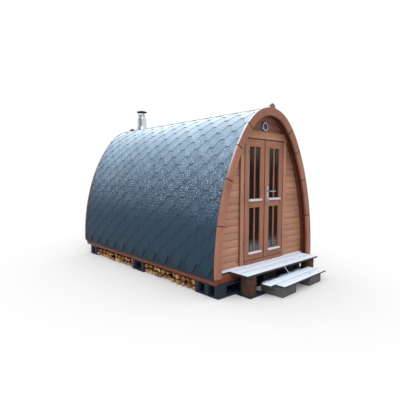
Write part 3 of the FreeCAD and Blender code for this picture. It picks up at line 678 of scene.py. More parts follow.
def timber_group():
    tree, g, at, end = node_group("timber figure", "ShaderNodeTree", [
        ("Vector", "Vector", (0, 0, 0)), ("Tone", "Float", 0.5), ("Light", "Color", None),
        ("Dark", "Color", None), ("Knot", "Color", None), ("Knots", "Float", 0.6),
        ("Contrast", "Float", 0.3)], [("Color", "Color"), ("Height", "Float")])
    tone = at["Tone"]
    x, y, z = g.split(g.vector("ADD", at["Vector"], g.join(tone * 13.0, tone * 7.3, tone * 5.1)))
    fibre = g.noise(g.join(x * 3.0, y * 110.0, z * 110.0), 1.0, 4.0, 0.6)
    broad = g.noise(g.join(x * 1.3, y * 12.0, z * 12.0), 1.0, 3.0)
    wander = g.noise(g.join(x * 0.9, y * 3.5, z * 3.5), 1.0, 2.0) * 30.0
    ring = g.math("SINE", (y + z * 0.6) * 260.0 + wander) * 0.5 + 0.5
    figure = fibre * 0.50 + broad * 0.38 + ring * 0.12
    cells = g.add("ShaderNodeTexVoronoi", {"Vector": g.join(x * 2.6, y * 8.5, z * 8.5),
                                           "Scale": 1.0})
    chosen, _, _ = g.split(Wire(g, cells.outputs["Color"]))
    knot = g.smooth(Wire(g, cells.outputs["Distance"]), 0.17, 0.07)
    knot = knot * chosen.over(g.rest(at["Knots"]))
    spread = at["Contrast"]
    amount = g.smooth(figure, g.math("SUBTRACT", 0.5, spread), spread + 0.5)
    colour = g.mix(amount, at["Dark"], at["Light"])
    colour = g.dim(colour, g.math("MAXIMUM", tone * 0.22 + 0.89, 0.05))
    colour = g.mix(knot * 0.7, colour, at["Knot"])
    g.plug(end.inputs[0], colour)
    g.plug(end.inputs[1], figure - knot * 0.25)
    return tree


def frost_group():
    tree, g, at, end = node_group("frost cover", "ShaderNodeTree", [
        ("Vector", "Vector", (0, 0, 0)), ("Facing", "Float", 1.0), ("Amount", "Float", 0.8),
        ("Patch", "Float", 6.0), ("Bare", "Float", 0.5)], [("Mask", "Float"), ("Grain", "Float")])
    wide = g.noise(at["Vector"], at["Patch"], 4.0, 0.6)
    fine = g.noise(at["Vector"], 160.0, 2.0, 0.6)
    edge = g.math("SUBTRACT", 1.05, at["Amount"])
    cover = g.smooth(wide * 0.75 + fine * 0.25, edge - 0.12, edge + 0.1)
    x, y, _ = g.split(at["Vector"])
    spots = g.add("ShaderNodeTexVoronoi", {"Vector": g.join(x * 2.2, y * 5.0, 0.0), "Scale": 1.0})
    picked, size, _ = g.split(Wire(g, spots.outputs["Color"]))
    ragged = Wire(g, spots.outputs["Distance"]) + fine * 0.10
    reach = size * 0.10 + 0.09
    spot = g.smooth(ragged, reach + 0.03, reach) * picked.over(0.52) * at["Bare"]
    cover = cover * g.rest(spot)
    g.plug(end.inputs[0], cover * g.smooth(at["Facing"], 0.55, 0.92))
    g.plug(end.inputs[1], fine)
    return tree


def wear_group():
    tree, g, at, end = node_group("weathering", "ShaderNodeTree", [
        ("Vector", "Vector", (0, 0, 0)), ("Scale", "Float", 3.0), ("Amount", "Float", 0.5)],
        [("Mask", "Float")])
    blotch = g.noise(at["Vector"], at["Scale"], 5.0, 0.65, 0.3)
    g.plug(end.inputs[0], g.smooth(blotch, 0.48, 0.72) * at["Amount"])
    return tree


def timber(name, light, dark, knot=(70, 40, 28), knots=0.45, contrast=0.28, rough=0.62,
           wear=(40, 26, 20), worn=0.25, frost=0.0, high=None, bare=0.0, joints=False,
           lift=0.0, patch=2.6):
    """Boards whose figure follows the grain attribute. Frost lies on what faces up. The high
    setting paints shade that darkens the boards upwards.
    """
    material, g, shader = new_material(name)
    grain = g.out("ShaderNodeAttribute", "Vector", attribute_name="grain")
    tone = g.out("ShaderNodeAttribute", "Fac", attribute_name="tone")
    place = g.out("ShaderNodeTexCoord", "Object")
    wood = use_group(g, "timber figure", {"Vector": grain, "Tone": tone, "Light": rgb(*light),
                                          "Dark": rgb(*dark), "Knot": rgb(*knot),
                                          "Knots": knots, "Contrast": contrast})
    mask = use_group(g, "weathering", {"Vector": place, "Scale": patch, "Amount": worn})["Mask"]
    colour = g.mix(mask, wood["Color"], rgb(*wear))
    height = wood["Height"]
    # painted shade: the boards darken upwards towards a deep red-brown, for the shade under the
    # overhang
    if high is not None:
        _, _, z = g.split(place)
        colour = g.mix(g.smooth(z, high[0], high[1]) * high[2], colour, rgb(92, 48, 36))
    if joints:
        cut_end = g.out("ShaderNodeAttribute", "Fac", attribute_name="joint")
        colour = g.mix(cut_end * 0.9, colour, rgb(52, 24, 18))
    if frost > 0:
        _, _, up = g.split(g.out("ShaderNodeNewGeometry", "Normal"))
        rime = use_group(g, "frost cover", {"Vector": place, "Facing": up + lift, "Amount": frost,
                                           "Bare": bare})
        cover = rime["Mask"]
        if joints:
            cover = cover * g.rest(cut_end)
        colour = g.mix(cover, colour, rgb(216, 228, 244))
        height = height + cover * (rime["Grain"] * 0.8 + 0.5)
    g.plug(shader.inputs["Base Color"], colour)
    g.plug(shader.inputs["Roughness"], rough)
    g.plug(shader.inputs["Specular IOR Level"], 0.3)
    bump(g, shader, height, 0.0015, 0.5)
    return material


def shingle_material(settings):
    material, g, shader = new_material("mineral shingles")
    u, v, _ = g.split(g.out("ShaderNodeAttribute", "Vector", attribute_name="tab"))
    tone = g.out("ShaderNodeAttribute", "Fac", attribute_name="tone")
    slope = g.out("ShaderNodeAttribute", "Fac", attribute_name="slope")
    edge = g.out("ShaderNodeAttribute", "Fac", attribute_name="edge")
    place = g.out("ShaderNodeTexCoord", "Object")
    drift = g.noise(place, 1.3, 3.0) * 0.12 - 0.06
    # frost pales the roof towards the ridge; the last stop, darker than the frost, is painted shade
    # that keeps the strongly lit crown from washing out
    ramp = g.ramp(slope + drift, (0.0, rgb(16, 44, 62)), (0.28, rgb(24, 54, 74)),
                  (0.42, rgb(52, 78, 100)), (0.57, rgb(90, 116, 140)),
                  (0.72, rgb(134, 160, 182)), (0.84, rgb(188, 210, 226)),
                  (0.92, rgb(234, 245, 251)), (1.0, rgb(172, 190, 206)))
    colour = g.dim(ramp, g.math("MAXIMUM", tone * 0.16 + 0.92, 0.3))
    # mineral granules, and painted glints of rime halfway up
    grit = g.noise(place, 420.0, 2.0, 0.7)
    colour = g.mix(g.smooth(grit, 0.42, 0.30) * 0.35, colour, rgb(30, 40, 54))
    cells = g.add("ShaderNodeTexVoronoi", {"Vector": place, "Scale": 86.0})
    pick, size, _ = g.split(Wire(g, cells.outputs["Color"]))
    glint = pick.over(0.50) * g.smooth(Wire(g, cells.outputs["Distance"]), 0.52, 0.32)
    band = g.smooth(slope, 0.20, 0.50) * g.smooth(slope, 0.95, 0.66)
    patch = g.smooth(g.noise(place, 5.0, 3.0), 0.35, 0.62)
    colour = g.mix(glint * band * (patch * 0.4 + 0.6) * (size * 0.7 + 0.3), colour,
                   rgb(220, 234, 246))
    # painted shadow: a dark line under the lap above, strongest where its edge looks to the doors;
    # each tab is also darker towards that lap
    e, flat, pitch = settings.exposure, settings.flat, settings.pitch
    side = g.math("ABSOLUTE", u)
    slant = (pitch - 2 * flat) / 2
    limit = g.math("SUBTRACT", flat / 2 + slant, (v - e) * (slant / e))
    gap = limit - side
    upper = v.over(e)
    wide = settings.line_width
    oblique_shadow = g.smooth(gap, wide * 0.7, wide * 0.2) * upper
    front_facing = g.smooth(u, -0.01, 0.01) * 0.65 + 0.35
    bottom_shadow = g.smooth(v, 2 * e - wide * 1.8, 2 * e - wide * 1.2)
    bottom_shadow = bottom_shadow * side.under(flat / 2 + 0.006)
    line = g.math("MAXIMUM", oblique_shadow * front_facing, bottom_shadow)
    strength = g.smooth(slope, 0.14, 0.40) * 0.78 + 0.20
    colour = g.mix(g.smooth(v, e * 1.1, e * 2.0) * strength * 0.55, colour, rgb(30, 48, 66))
    colour = g.mix(line * strength, colour, rgb(14, 28, 42))
    colour = g.mix(edge * (strength + 0.1), colour, rgb(24, 32, 44))
    g.plug(shader.inputs["Base Color"], colour)
    g.plug(shader.inputs["Roughness"], g.noise(place, 60.0, 2.0) * 0.25 + 0.55)
    g.plug(shader.inputs["Specular IOR Level"], 0.35)
    bump(g, shader, grit + glint * band, 0.0012, 0.6)
    return material


def metal(name, colour, rough, streak=(1.0, 1.0, 0.1), dirt=0.2, dull=(90, 92, 96), metallic=1.0):
    material, g, shader = new_material(name)
    place = g.out("ShaderNodeTexCoord", "Object")
    stretched = g.vector("MULTIPLY", place, streak)
    brushed = g.noise(stretched, 320.0, 3.0, 0.6)
    mask = use_group(g, "weathering", {"Vector": place, "Scale": 9.0, "Amount": dirt})["Mask"]
    base = g.dim(rgb(*colour), brushed * 0.16 + 0.92)
    g.plug(shader.inputs["Base Color"], g.mix(mask, base, rgb(*dull)))
    shader.inputs["Metallic"].default_value = metallic
    g.plug(shader.inputs["Roughness"], brushed * 0.14 + mask * 0.25 + (rough - 0.07))
    bump(g, shader, brushed, 0.0003, 0.4)
    return material


def flue_material():
    """Polished steel with the dark upright bands that a round flue mirrors."""
    material, g, shader = new_material("flue steel")
    place = g.out("ShaderNodeTexCoord", "Object")
    x, y, z = g.split(place)
    angle = g.math("ARCTAN2", y - FLUE_Y, x)
    bands = g.noise(g.join(angle * 2.2, z * 0.12, 2.0), 1.0, 2.0, 0.5)
    streaks = g.noise(g.join(angle * 9.0, z * 1.2, 5.0), 1.0, 2.0)
    dark = g.smooth(bands, 0.46, 0.62) * 0.70 + g.smooth(streaks, 0.52, 0.70) * 0.3
    seam = g.smooth(g.math("ABSOLUTE", g.math("MODULO", z, 0.12) - 0.06), 0.0585, 0.0600)
    colour = g.mix(g.math("MINIMUM", dark, 1.0), rgb(206, 212, 222), rgb(62, 66, 74))
    colour = g.mix(seam * 0.5, colour, rgb(40, 42, 48))
    g.plug(shader.inputs["Base Color"], colour)
    shader.inputs["Metallic"].default_value = 1.0
    g.plug(shader.inputs["Roughness"], streaks * 0.12 + 0.16)
    bump(g, shader, streaks, 0.0003, 0.3)
    return material


def glass_material():
    """Panes painted near black for the dark room behind, with painted pale reflections at their
    upper and lower ends.
    """
    material, g, shader = new_material("door glass")
    place = g.out("ShaderNodeTexCoord", "Object")
    x, _, z = g.split(place)
    streak = g.noise(g.join(x * 26.0, 0.0, z * 2.2), 1.0, 3.0, 0.6)
    spot = g.noise(g.join(x * 22.0, 0.0, z * 26.0), 1.0, 2.0)
    # painted reflection: pale upright streaks near the upper and lower ends, and scattered pale
    # spots
    foot = g.smooth(z, 0.74, 0.56)
    ends = g.math("MAXIMUM", g.smooth(z, 1.72, 2.12) * 0.75, foot)
    painted_reflection = ends * g.smooth(streak, 0.26, 0.58)
    painted_reflection = g.math("MAXIMUM", painted_reflection, g.smooth(spot, 0.66, 0.74) * 0.35)
    # the colour of the painted reflection, bluer at the foot
    rime = g.mix(foot, rgb(70, 74, 72), rgb(92, 104, 120))
    # painted shade: the near-black colour, nearly opaque, stands for the dark room behind the panes
    g.plug(shader.inputs["Base Color"], g.mix(painted_reflection, rgb(20, 10, 6), rime))
    g.plug(shader.inputs["Roughness"], painted_reflection * 0.25 + 0.04)
    g.plug(shader.inputs["Alpha"], painted_reflection * 0.12 + 0.84)
    shader.inputs["Specular IOR Level"].default_value = 0.06
    shader.inputs["IOR"].default_value = 1.52
    return material


def direct_view(g):
    """1 for what the camera sees, also in a mirror or through glass, and 0 for light."""
    path = g.add("ShaderNodeLightPath")
    seen = g.math("MAXIMUM", Wire(g, path.outputs["Is Camera Ray"]),
                  Wire(g, path.outputs["Is Glossy Ray"]))
    return g.math("MAXIMUM", seen, Wire(g, path.outputs["Is Transmission Ray"]))


def stage_material(name, colour, strength):
    """Pale ground that keeps shadows, with the same pale tone for the view and for glass."""
    material, g, shader = new_material(name)
    place = g.out("ShaderNodeTexCoord", "Object")
    fine = g.noise(place, 30.0, 3.0) * 0.01 + (colour - 0.005)
    g.plug(shader.inputs["Base Color"], g.grey(fine))
    shader.inputs["Roughness"].default_value = 0.9
    shader.inputs["Specular IOR Level"].default_value = 0.0
    shader.inputs["Emission Strength"].default_value = 1.0
    g.plug(shader.inputs["Emission Color"], g.grey(direct_view(g) * strength))
    return material


def finishes(settings, shingles):
    timber_group()
    frost_group()
    wear_group()
    stain = [round(c * 255) for c in settings.stain]
    pale = [min(255, c + 14) for c in stain]
    deep = [max(0, c - 16) for c in stain]
    # high= is painted shade: the upper fascia, the casing under the header and the upper walls
    # darken upwards
    timber("stained fascia", (162, 112, 92), (124, 80, 64), worn=0.25, contrast=0.36, frost=0.75,
           high=(1.9, 2.7, 0.30), joints=True, lift=0.28)
    timber("stained joinery", (162, 112, 90), (124, 76, 58), worn=0.2, contrast=0.36)
    timber("stained casing", (178, 132, 106), (142, 98, 76), worn=0.2, contrast=0.36,
           high=(2.15, 2.4, 0.3))
    timber("stained matchboard", pale, deep, worn=0.22, contrast=0.38, knots=0.75,
           wear=(112, 62, 42), high=(1.35, 2.4, 0.62))
    # stain and painted shade: the staves are coloured dark for the shade under the overhang
    timber("stained staves", (110, 60, 40), (70, 34, 22), worn=0.3)
    timber("floor boards", (206, 172, 134), (176, 138, 100), worn=0.15)
    timber("damp sill", (128, 68, 48), (86, 42, 32), worn=0.4)
    # navy paint on the pallets, darkened a little beyond it as painted shade for the deep shade
    # under the cabin
    timber("pallet boards dark", (34, 46, 64), (16, 24, 36), knots=0.2, worn=0.45,
           wear=(14, 18, 28), rough=0.7)
    timber("pallet boards grey", (104, 104, 106), (58, 58, 60), knots=0.3, worn=0.5,
           wear=(60, 58, 60), rough=0.8, contrast=0.34, frost=0.55)
    timber("frosted boards", (70, 62, 62), (40, 36, 38), frost=1.02, worn=0.3, rough=0.7, bare=0.9)
    timber("frosted ledges", (200, 200, 206), (176, 172, 178), frost=1.3, worn=0.0)
    timber("log bark", (96, 66, 54), (24, 17, 15), knots=0.8, worn=1.0, wear=(22, 16, 15),
           rough=0.9, contrast=0.6, frost=0.3, patch=21.0)
    timber("split wood", (204, 156, 104), (104, 62, 34), knots=0.3, worn=0.5,
           wear=(96, 54, 28), contrast=0.5, rough=0.75)
    timber("cut ends", (206, 160, 108), (116, 70, 38), knots=0.2, worn=0.5,
           wear=(112, 62, 30), contrast=0.5, rough=0.8)
    timber("firewood bark", (96, 66, 50), (44, 30, 24), knots=0.1, worn=0.5, rough=0.85)
    flue_material()
    metal("cap black", (34, 34, 38), 0.45, dirt=0.3, dull=(56, 56, 60), metallic=0.4)
    metal("hinge zinc", (138, 126, 116), 0.38, dirt=0.45, dull=(110, 96, 84))
    metal("handle satin", (178, 178, 184), 0.28, streak=(1.0, 0.1, 1.0))
    metal("vent satin", (172, 178, 192), 0.35, dirt=0.35)
    metal("vent blue", (38, 58, 104), 0.4, dirt=0.2, dull=(70, 90, 130), metallic=0.3)
    # black for the key cylinder, and painted shade in the saw cuts and the door gaps
    metal("black fitting and gap shade", (22, 20, 20), 0.6, dirt=0.2, dull=(40, 38, 38), metallic=0.2)
    glass_material()
    shingle_material(shingles)
    stage_material("pale ground", 0.63, 0.07)


# Sizes that a user would change

class ShingleSettings(bpy.types.PropertyGroup):
    pitch: bpy.props.FloatProperty(name="Tab pitch", default=0.328, unit="LENGTH",
                                   description="From tab to tab along the cabin")
    exposure: bpy.props.FloatProperty(name="Exposure", default=0.1335, unit="LENGTH",
                                      description="From row to row up the slope")
    flat: bpy.props.FloatProperty(name="Flat edge", default=0.085, unit="LENGTH",
                                  description="Width of the flat lower edge of a tab")
    thickness: bpy.props.FloatProperty(name="Thickness", default=0.004, unit="LENGTH",
                                       description="Thickness of one layer")
    rise: bpy.props.FloatProperty(name="Lap height", default=0.0095, unit="LENGTH",
                                  description="Height of a tab's lower edge over the staves")
    unevenness: bpy.props.FloatProperty(name="Unevenness", default=0.003, unit="LENGTH",
                                        description="How much more some tabs lift")
    first_y: bpy.props.FloatProperty(name="First tab", default=-1.843, unit="LENGTH",
                                     description="Middle of the first tab of the lowest row")
    # painted shadow: the width of the dark line painted under each lap
    line_width: bpy.props.FloatProperty(name="Lap line", default=0.033, unit="LENGTH",
                                        description="Width of the dark line under each lap")


class TimberSettings(bpy.types.PropertyGroup):
    stain: bpy.props.FloatVectorProperty(name="Stain", subtype="COLOR", size=3, min=0, max=1,
                                         default=(0.655, 0.475, 0.380),
                                         description="Stain of the wall boards")
    board_pitch: bpy.props.FloatProperty(name="Board pitch", default=0.104, unit="LENGTH",
                                         description="Face width of the wall boards")
    first_joint: bpy.props.FloatProperty(name="First joint", default=0.4175, unit="LENGTH",
                                         description="Height of the lowest joint")
    joint: bpy.props.FloatProperty(name="Joint", default=0.007, unit="LENGTH",
                                   description="Width of the joint between wall boards")
    stave_pitch: bpy.props.FloatProperty(name="Stave pitch", default=0.092, unit="LENGTH",
                                         description="Width of the staves of the shell")
    edge: bpy.props.FloatProperty(name="Rounded edge", default=0.003, unit="LENGTH",
                                  description="Rounding of the arch boards")


class BaseSettings(bpy.types.PropertyGroup):
    bark: bpy.props.FloatProperty(name="Bark", default=0.006, unit="LENGTH",
                                  description="Depth of the bark's furrows")
    pallet_gap: bpy.props.FloatProperty(name="Pallet gap", default=0.030, unit="LENGTH",
                                        description="Gap between the boards of a pallet")
    seed: bpy.props.IntProperty(name="Seed", default=11, description="Order of the split logs")


# Pieces

def ridge_cap(settings):
    """One cap bent over the ridge, with its lap raised towards the doors."""
    bm = bmesh.new()
    tab = bm.verts.layers.float_vector.new("tab")
    slope = bm.verts.layers.float.new("slope")
    length, across = outline_length(), 8
    rows = []
    for high in (settings.thickness, 0.0):
        for y, lift in ((0.0, 0.0030), (CAP_LENGTH, 0.0002)):
            row = []
            for k in range(across + 1):
                t = length + CAP_HALF_WIDTH * (2 * k / across - 1)
                x, z = place_on(t, SHELL_OFFSET - settings.rise - 0.0002 - lift - high)
                vert = bm.verts.new((x, y, z))
                vert[tab], vert[slope] = Vector((0.3, 0.0, 0.0)), 1.0
                row.append(vert)
            rows.append(row)
    front_top, rear_top, front_low, rear_low = rows
    for a, b in ((front_top, rear_top), (rear_top, rear_low), (rear_low, front_low),
                 (front_low, front_top)):
        for k in range(across):
            bm.faces.new((a[k], a[k + 1], b[k + 1], b[k]))
    for k in (0, across):
        bm.faces.new((front_top[k], rear_top[k], rear_low[k], front_low[k]))
    bmesh.ops.recalc_face_normals(bm, faces=bm.faces)
    mark = bm.faces.layers.float.new("edge")
    for face in bm.faces:
        face[mark] = float(abs(face.normal.y) > 0.7)
    mesh = bpy.data.meshes.new("ridge_cap")
    bm.to_mesh(mesh)
    bm.free()
    return link_mesh("ridge_cap", mesh)


def roof_pieces(settings):
    material = MATERIALS["mineral shingles"]
    guide, length = outline_curve("outline_guide", SHELL_OFFSET, FOOT_DROP)
    mesh = grow("shingle_cover", shingle_tree(), {
        "Outline": guide, "Start": FOOT_DROP, "Length": length, "Pitch": settings.pitch,
        "Exposure": settings.exposure, "Flat": settings.flat, "Thickness": settings.thickness,
        "Rise": settings.rise, "Rows": math.ceil((length - FOOT_DROP) / settings.exposure),
        "Columns": 14, "First Y": settings.first_y, "Front": SHELL_FRONT + 0.0005,
        "Rear": SHELL_REAR - 0.0005, "Unevenness": settings.unevenness, "Flue Y": FLUE_Y,
        "Flue Radius": FLUE_HOLE, "Strip": FOOT_DROP + 0.2, "Material": material})
    bpy.data.objects.remove(guide)
    made = link_mesh("shingle_cover", mesh)
    settle(made, ["shingles_left", "shingles_right"], [])
    # caps along the ridge, before the flue and behind it
    cap = ridge_cap(settings)
    lines = line_tree()
    for name, first, last in (("ridge_caps_front", SHELL_FRONT + 0.002, FLUE_Y - 0.15),
                              ("ridge_caps_rear", FLUE_Y + 0.142, SHELL_REAR)):
        count = int((last - CAP_LENGTH - first) / CAP_STEP) + 1
        mesh = grow(name, lines, {"Piece": cap, "Start": (0.0, first, 0.0),
                                  "Step": (0.0, CAP_STEP, 0.0), "Count": count, "Spread": 0.0,
                                  "Seed": 5, "Material": material})
        settle(link_mesh(name, mesh), [], [], "cabin", "shingle")
    bpy.data.objects.remove(cap)


def tone_by_height(mesh, first, pitch, seed):
    """Grain along the boards, and a tone for each board between two joints."""
    bm = bmesh.new()
    bm.from_mesh(mesh)
    grain, tone = grain_layers(bm)
    for vert in bm.verts:
        vert[grain] = vert.co
    for face in bm.faces:
        index = math.floor((face.calc_center_median().z - first) / pitch)
        face[tone] = random.Random(seed * 1000 + index).random()
        if abs(face.normal.z) > 0.4 and abs(face.normal.y) > 0.4:
            face[tone] = -1.5     # the flanks of a joint
    bm.to_mesh(mesh)
    bm.free()
    sharpen(mesh)


def wall_pieces(settings):
    tree = groove_tree()
    material = MATERIALS["stained matchboard"]
    size = settings.joint / math.sqrt(2)
    for node in ("front_wall_left", "front_wall_right", "front_gable", "rear_wall"):
        low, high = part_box(node)
        mesh = grow(node + "_boards", tree, {
            "Start": (0.0, low.y, settings.first_joint),
            "Step": (0.0, 0.0, settings.board_pitch), "Count": WALL_JOINTS,
            "Size": (WALL_CUTTER, size, size), "Turn": (math.pi / 4, 0.0, 0.0),
            "Other Face": (0.0, high.y - low.y, 0.0), "Material": material}, node)
        tone_by_height(mesh, settings.first_joint, settings.board_pitch, 5)
        settle(link_mesh(node + "_boards", mesh), [node], [])


def stave(bm, start, end, mirrored=False):
    """One stave between two distances up the outline, with eased inner edges."""
    ease, joint = 0.003, 0.0004
    section = [(start + joint, SHELL_OFFSET), (end - joint, SHELL_OFFSET),
               (end - joint, STAVE_OFFSET - ease), (end - joint - ease, STAVE_OFFSET),
               (start + joint + ease, STAVE_OFFSET), (start + joint, STAVE_OFFSET - ease)]
    side = -1.0 if mirrored else 1.0
    rings = []
    for y in (SHELL_FRONT, SHELL_REAR):
        places = [place_on(*corner) for corner in section]
        rings.append([bm.verts.new((side * x, y, z)) for x, z in places])
    front, rear = rings
    bm.faces.new(front)
    bm.faces.new(rear[::-1])
    for k in range(6):
        bm.faces.new((front[k - 1], rear[k - 1], rear[k], front[k]))


def shell_pieces(settings):
    """The staves of each panel of the shell."""
    joint, length = distance_at(CROWN_HEADING), outline_length()
    gap = 0.0005
    for node, first, last in (("shell_left", 0.0, joint - gap), ("shell_right", 0.0, joint - gap),
                              ("shell_crown", joint + gap, 2 * length - joint - gap)):
        bm = bmesh.new()
        count = round((last - first) / settings.stave_pitch)
        width = (last - first) / count
        for k in range(count):
            stave(bm, first + k * width, first + (k + 1) * width, node == "shell_left")
        bmesh.ops.recalc_face_normals(bm, faces=bm.faces)
        board_piece(node + "_staves", bm, [node], [MATERIALS["stained staves"]], 37)


def joint_planes():
    """Where the saw cuts of the arches lie: a point of each and the direction across it."""
    found = []
    for heading in UPPER_JOINTS + LOWER_JOINTS:
        middle = place_on(distance_at(heading), ARCH_MIDDLE)
        a = math.radians(heading)
        for side in (-1, 1):
            found.append((Vector((side * middle[0], 0.0, middle[1])),
                          Vector((side * math.cos(a), 0.0, math.sin(a)))))
    return found


def away(place, point):
    """The distance between two places as seen from the front."""
    return math.hypot(place.x - point.x, place.z - point.z)


def saw_cut_shade(bm, point, across, y0, y1):
    """Painted shade: a loose black filler in a saw cut, standing for the shade inside the cut."""
    outward = Vector((across.z, 0.0, -across.x))
    corners = []
    for y in (y0, y1):
        for a, b in ((-1, -1), (1, -1), (1, 1), (-1, 1)):
            place = (point + across * (CUT_SHADE_HALF_THICKNESS * a)
                     + outward * (CUT_SHADE_HALF_HEIGHT * b))
            corners.append(bm.verts.new((place.x, y, place.z)))
    for ring in ((0, 1, 2, 3), (7, 6, 5, 4), (0, 4, 5, 1), (1, 5, 6, 2), (2, 6, 7, 3),
                 (3, 7, 4, 0)):
        bm.faces.new([corners[i] for i in ring]).material_index = 1


def arch_pieces(settings):
    """The boards of the arches, with a mark that darkens the wood beside each saw cut."""
    planes = joint_planes()
    for k, node in enumerate(("front_arch", "front_crown", "rear_arch", "rear_crown")):
        bm = clean_copy(node)
        soften(bm, settings.edge)
        for point, across in planes:
            for side in (-CUT_REACH, CUT_REACH):
                near = [f for f in bm.faces if away(f.calc_center_median(), point) < 0.9]
                parts = near + list({e for f in near for e in f.edges})
                parts += list({v for f in near for v in f.verts})
                bmesh.ops.bisect_plane(bm, geom=parts, plane_co=point + across * side,
                                       plane_no=across)
        grain_by_body(bm, 20 + k)
        mark = bm.verts.layers.float.new("joint")
        for vert in bm.verts:
            gaps = [abs((vert.co - point).dot(across)) for point, across in planes
                    if away(vert.co, point) < 0.12]
            vert[mark] = min(1.0, max(0.0, 1.5 - 1.5 * min(gaps) / CUT_REACH)) if gaps else 0.0
        if node.endswith("arch"):
            low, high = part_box(node)
            for point, across in planes:
                saw_cut_shade(bm, point, across, low.y + 0.004, high.y - 0.004)
        mesh = bpy.data.meshes.new(node + "_boards")
        bm.to_mesh(mesh)
        bm.free()
        sharpen(mesh)
        settle(link_mesh(node + "_boards", mesh), [node],
               [MATERIALS["stained fascia"], MATERIALS["black fitting and gap shade"]])
    for node in ("front_trim", "rear_trim"):
        dress(node + "_batten", [node], "stained staves", 0.0, 31)


def floor_pieces():
    dress("floor_panel", ["floor"], "floor boards", 0.001, 40)
    for node in ("floor_joists", "skid_left", "skid_right", "end_sills"):
        dress(node + "_beams", [node], "damp sill", 0.002, 41)


def leaf_boards(glass_low, glass_high, low, high, panes):
    """Stiles, rails, glazing bars and beads of one leaf, each a board of its own."""
    bm = bmesh.new()
    y0, y1 = low.y, high.y
    x0, x1 = low.x, high.x
    px0, px1 = panes[0][0], panes[0][1]
    add_board(bm, (x0, y0, low.z), (px0, y1, high.z))
    add_board(bm, (px1, y0, low.z), (x1, y1, high.z))
    levels = [low.z] + [z for pane in panes for z in pane[2:]] + [high.z]
    for k in range(0, 6, 2):
        add_board(bm, (px0 - LAP, y0 + 0.0004, levels[k]),
                  (px1 + LAP, y1 - 0.0004, levels[k + 1]))
    bar0, bar1 = (px0 + px1) / 2 - BAR_HALF, (px0 + px1) / 2 + BAR_HALF
    for pane in panes:
        z0, z1 = pane[2], pane[3]
        add_board(bm, (bar0, y0 + 0.003, z0 - LAP), (bar1, y1 - 0.003, z1 + LAP))
        for bead_y0, bead_y1 in ((y0 + 0.0085, glass_low.y - LAP),
                                 (glass_high.y + LAP, y1 - 0.0085)):
            add_board(bm, (px0, bead_y0, z0), (px0 + BEAD, bead_y1, z1), 0.0012)
            add_board(bm, (px1 - BEAD, bead_y0, z0), (px1, bead_y1, z1), 0.0012)
            for a, b in ((z0, z0 + BEAD), (z1 - BEAD, z1)):
                add_board(bm, (px0 + BEAD, bead_y0, a), (bar0, bead_y1, b), 0.0012)
                add_board(bm, (bar1, bead_y0, a), (px1 - BEAD, bead_y1, b), 0.0012)
    return bm


def shade(made, test, value):
    """Paints shade: sets the tone of the faces that the test picks by middle and normal."""
    tones = made.data.attributes["tone"].data
    for face in made.data.polygons:
        if test(face.center, face.normal):
            tones[face.index].value = value


def ledge_caps(side, seed):
    """The drip ledges under a cap of frozen snow."""
    bm = clean_copy(side + "_ledges")
    soften(bm, 0.002)
    for members in islands(bm):
        low, high = corners_of(members)
        add_board(bm, (low.x + 0.002, low.y + 0.001, high.z - 0.010),
                  (high.x - 0.002, high.y - 0.001, high.z + 0.005), 0.006)
    board_piece(side + "_ledge_caps", bm, [side + "_ledges"], [MATERIALS["frosted ledges"]],
                seed)


def gap_shade_strips(side, low, high):
    """Painted shade: black strips round the edge of a leaf, one of them on the meeting edge,
    standing for the shade in the gaps.
    """
    bm = bmesh.new()
    wide, y0, y1 = 0.0038, low.y + 0.0012, low.y + 0.020
    hinge_x = (low.x - wide, low.x) if side == "left" else (high.x, high.x + wide)
    add_board(bm, (hinge_x[0], y0, low.z), (hinge_x[1], y1, high.z), 0.0008)
    add_board(bm, (low.x, y0, high.z), (high.x, y1, high.z + wide), 0.0008)
    add_board(bm, (low.x, y0, low.z - wide), (high.x, y1, low.z), 0.0008)
    if side == "left":
        add_board(bm, (high.x, y0, low.z), (high.x + wide, y1, high.z), 0.0008)
    board_piece(side + "_gasket", bm, [], [MATERIALS["black fitting and gap shade"]], 57, side + "_door",
                slot_of(side + "_leaf"))


def painted_shade_strips():
    """Painted shade: dark strips round the inside of the casing and on the meeting edge, standing
    for the shade in the gaps.
    """
    left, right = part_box("left_leaf"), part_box("right_leaf")
    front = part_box("door_casing")[0].y
    gap, wide, proud = 0.0050, 0.009, 0.0012
    bm = bmesh.new()
    x0, x1 = left[0].x - gap, right[1].x + gap
    z0, z1 = left[0].z, left[1].z + gap
    for low, high in (((x0 - wide, z0), (x0, z1)), ((x1, z0), (x1 + wide, z1)),
                      ((x0 - wide, z1), (x1 + wide, z1 + wide * 1.3))):
        add_board(bm, (low[0], front - proud, low[1]), (high[0], front + 0.004, high[1]), 0.001)
    strips = board_piece("casing_strips", bm, [], [MATERIALS["stained staves"]], 64, "cabin",
                         slot_of("door_casing"))
    shade(strips, lambda place, normal: True, -2.4)
    bm = bmesh.new()
    edge = left[1].x
    add_board(bm, (edge - 0.012, left[0].y - 0.002, z0 + 0.003),
              (edge - 0.0005, left[0].y + 0.004, left[1].z - 0.003), 0.001)
    strip = board_piece("meeting_strip", bm, [], [MATERIALS["stained staves"]], 65, "left_door",
                        slot_of("left_leaf"))
    shade(strip, lambda place, normal: True, -2.4)


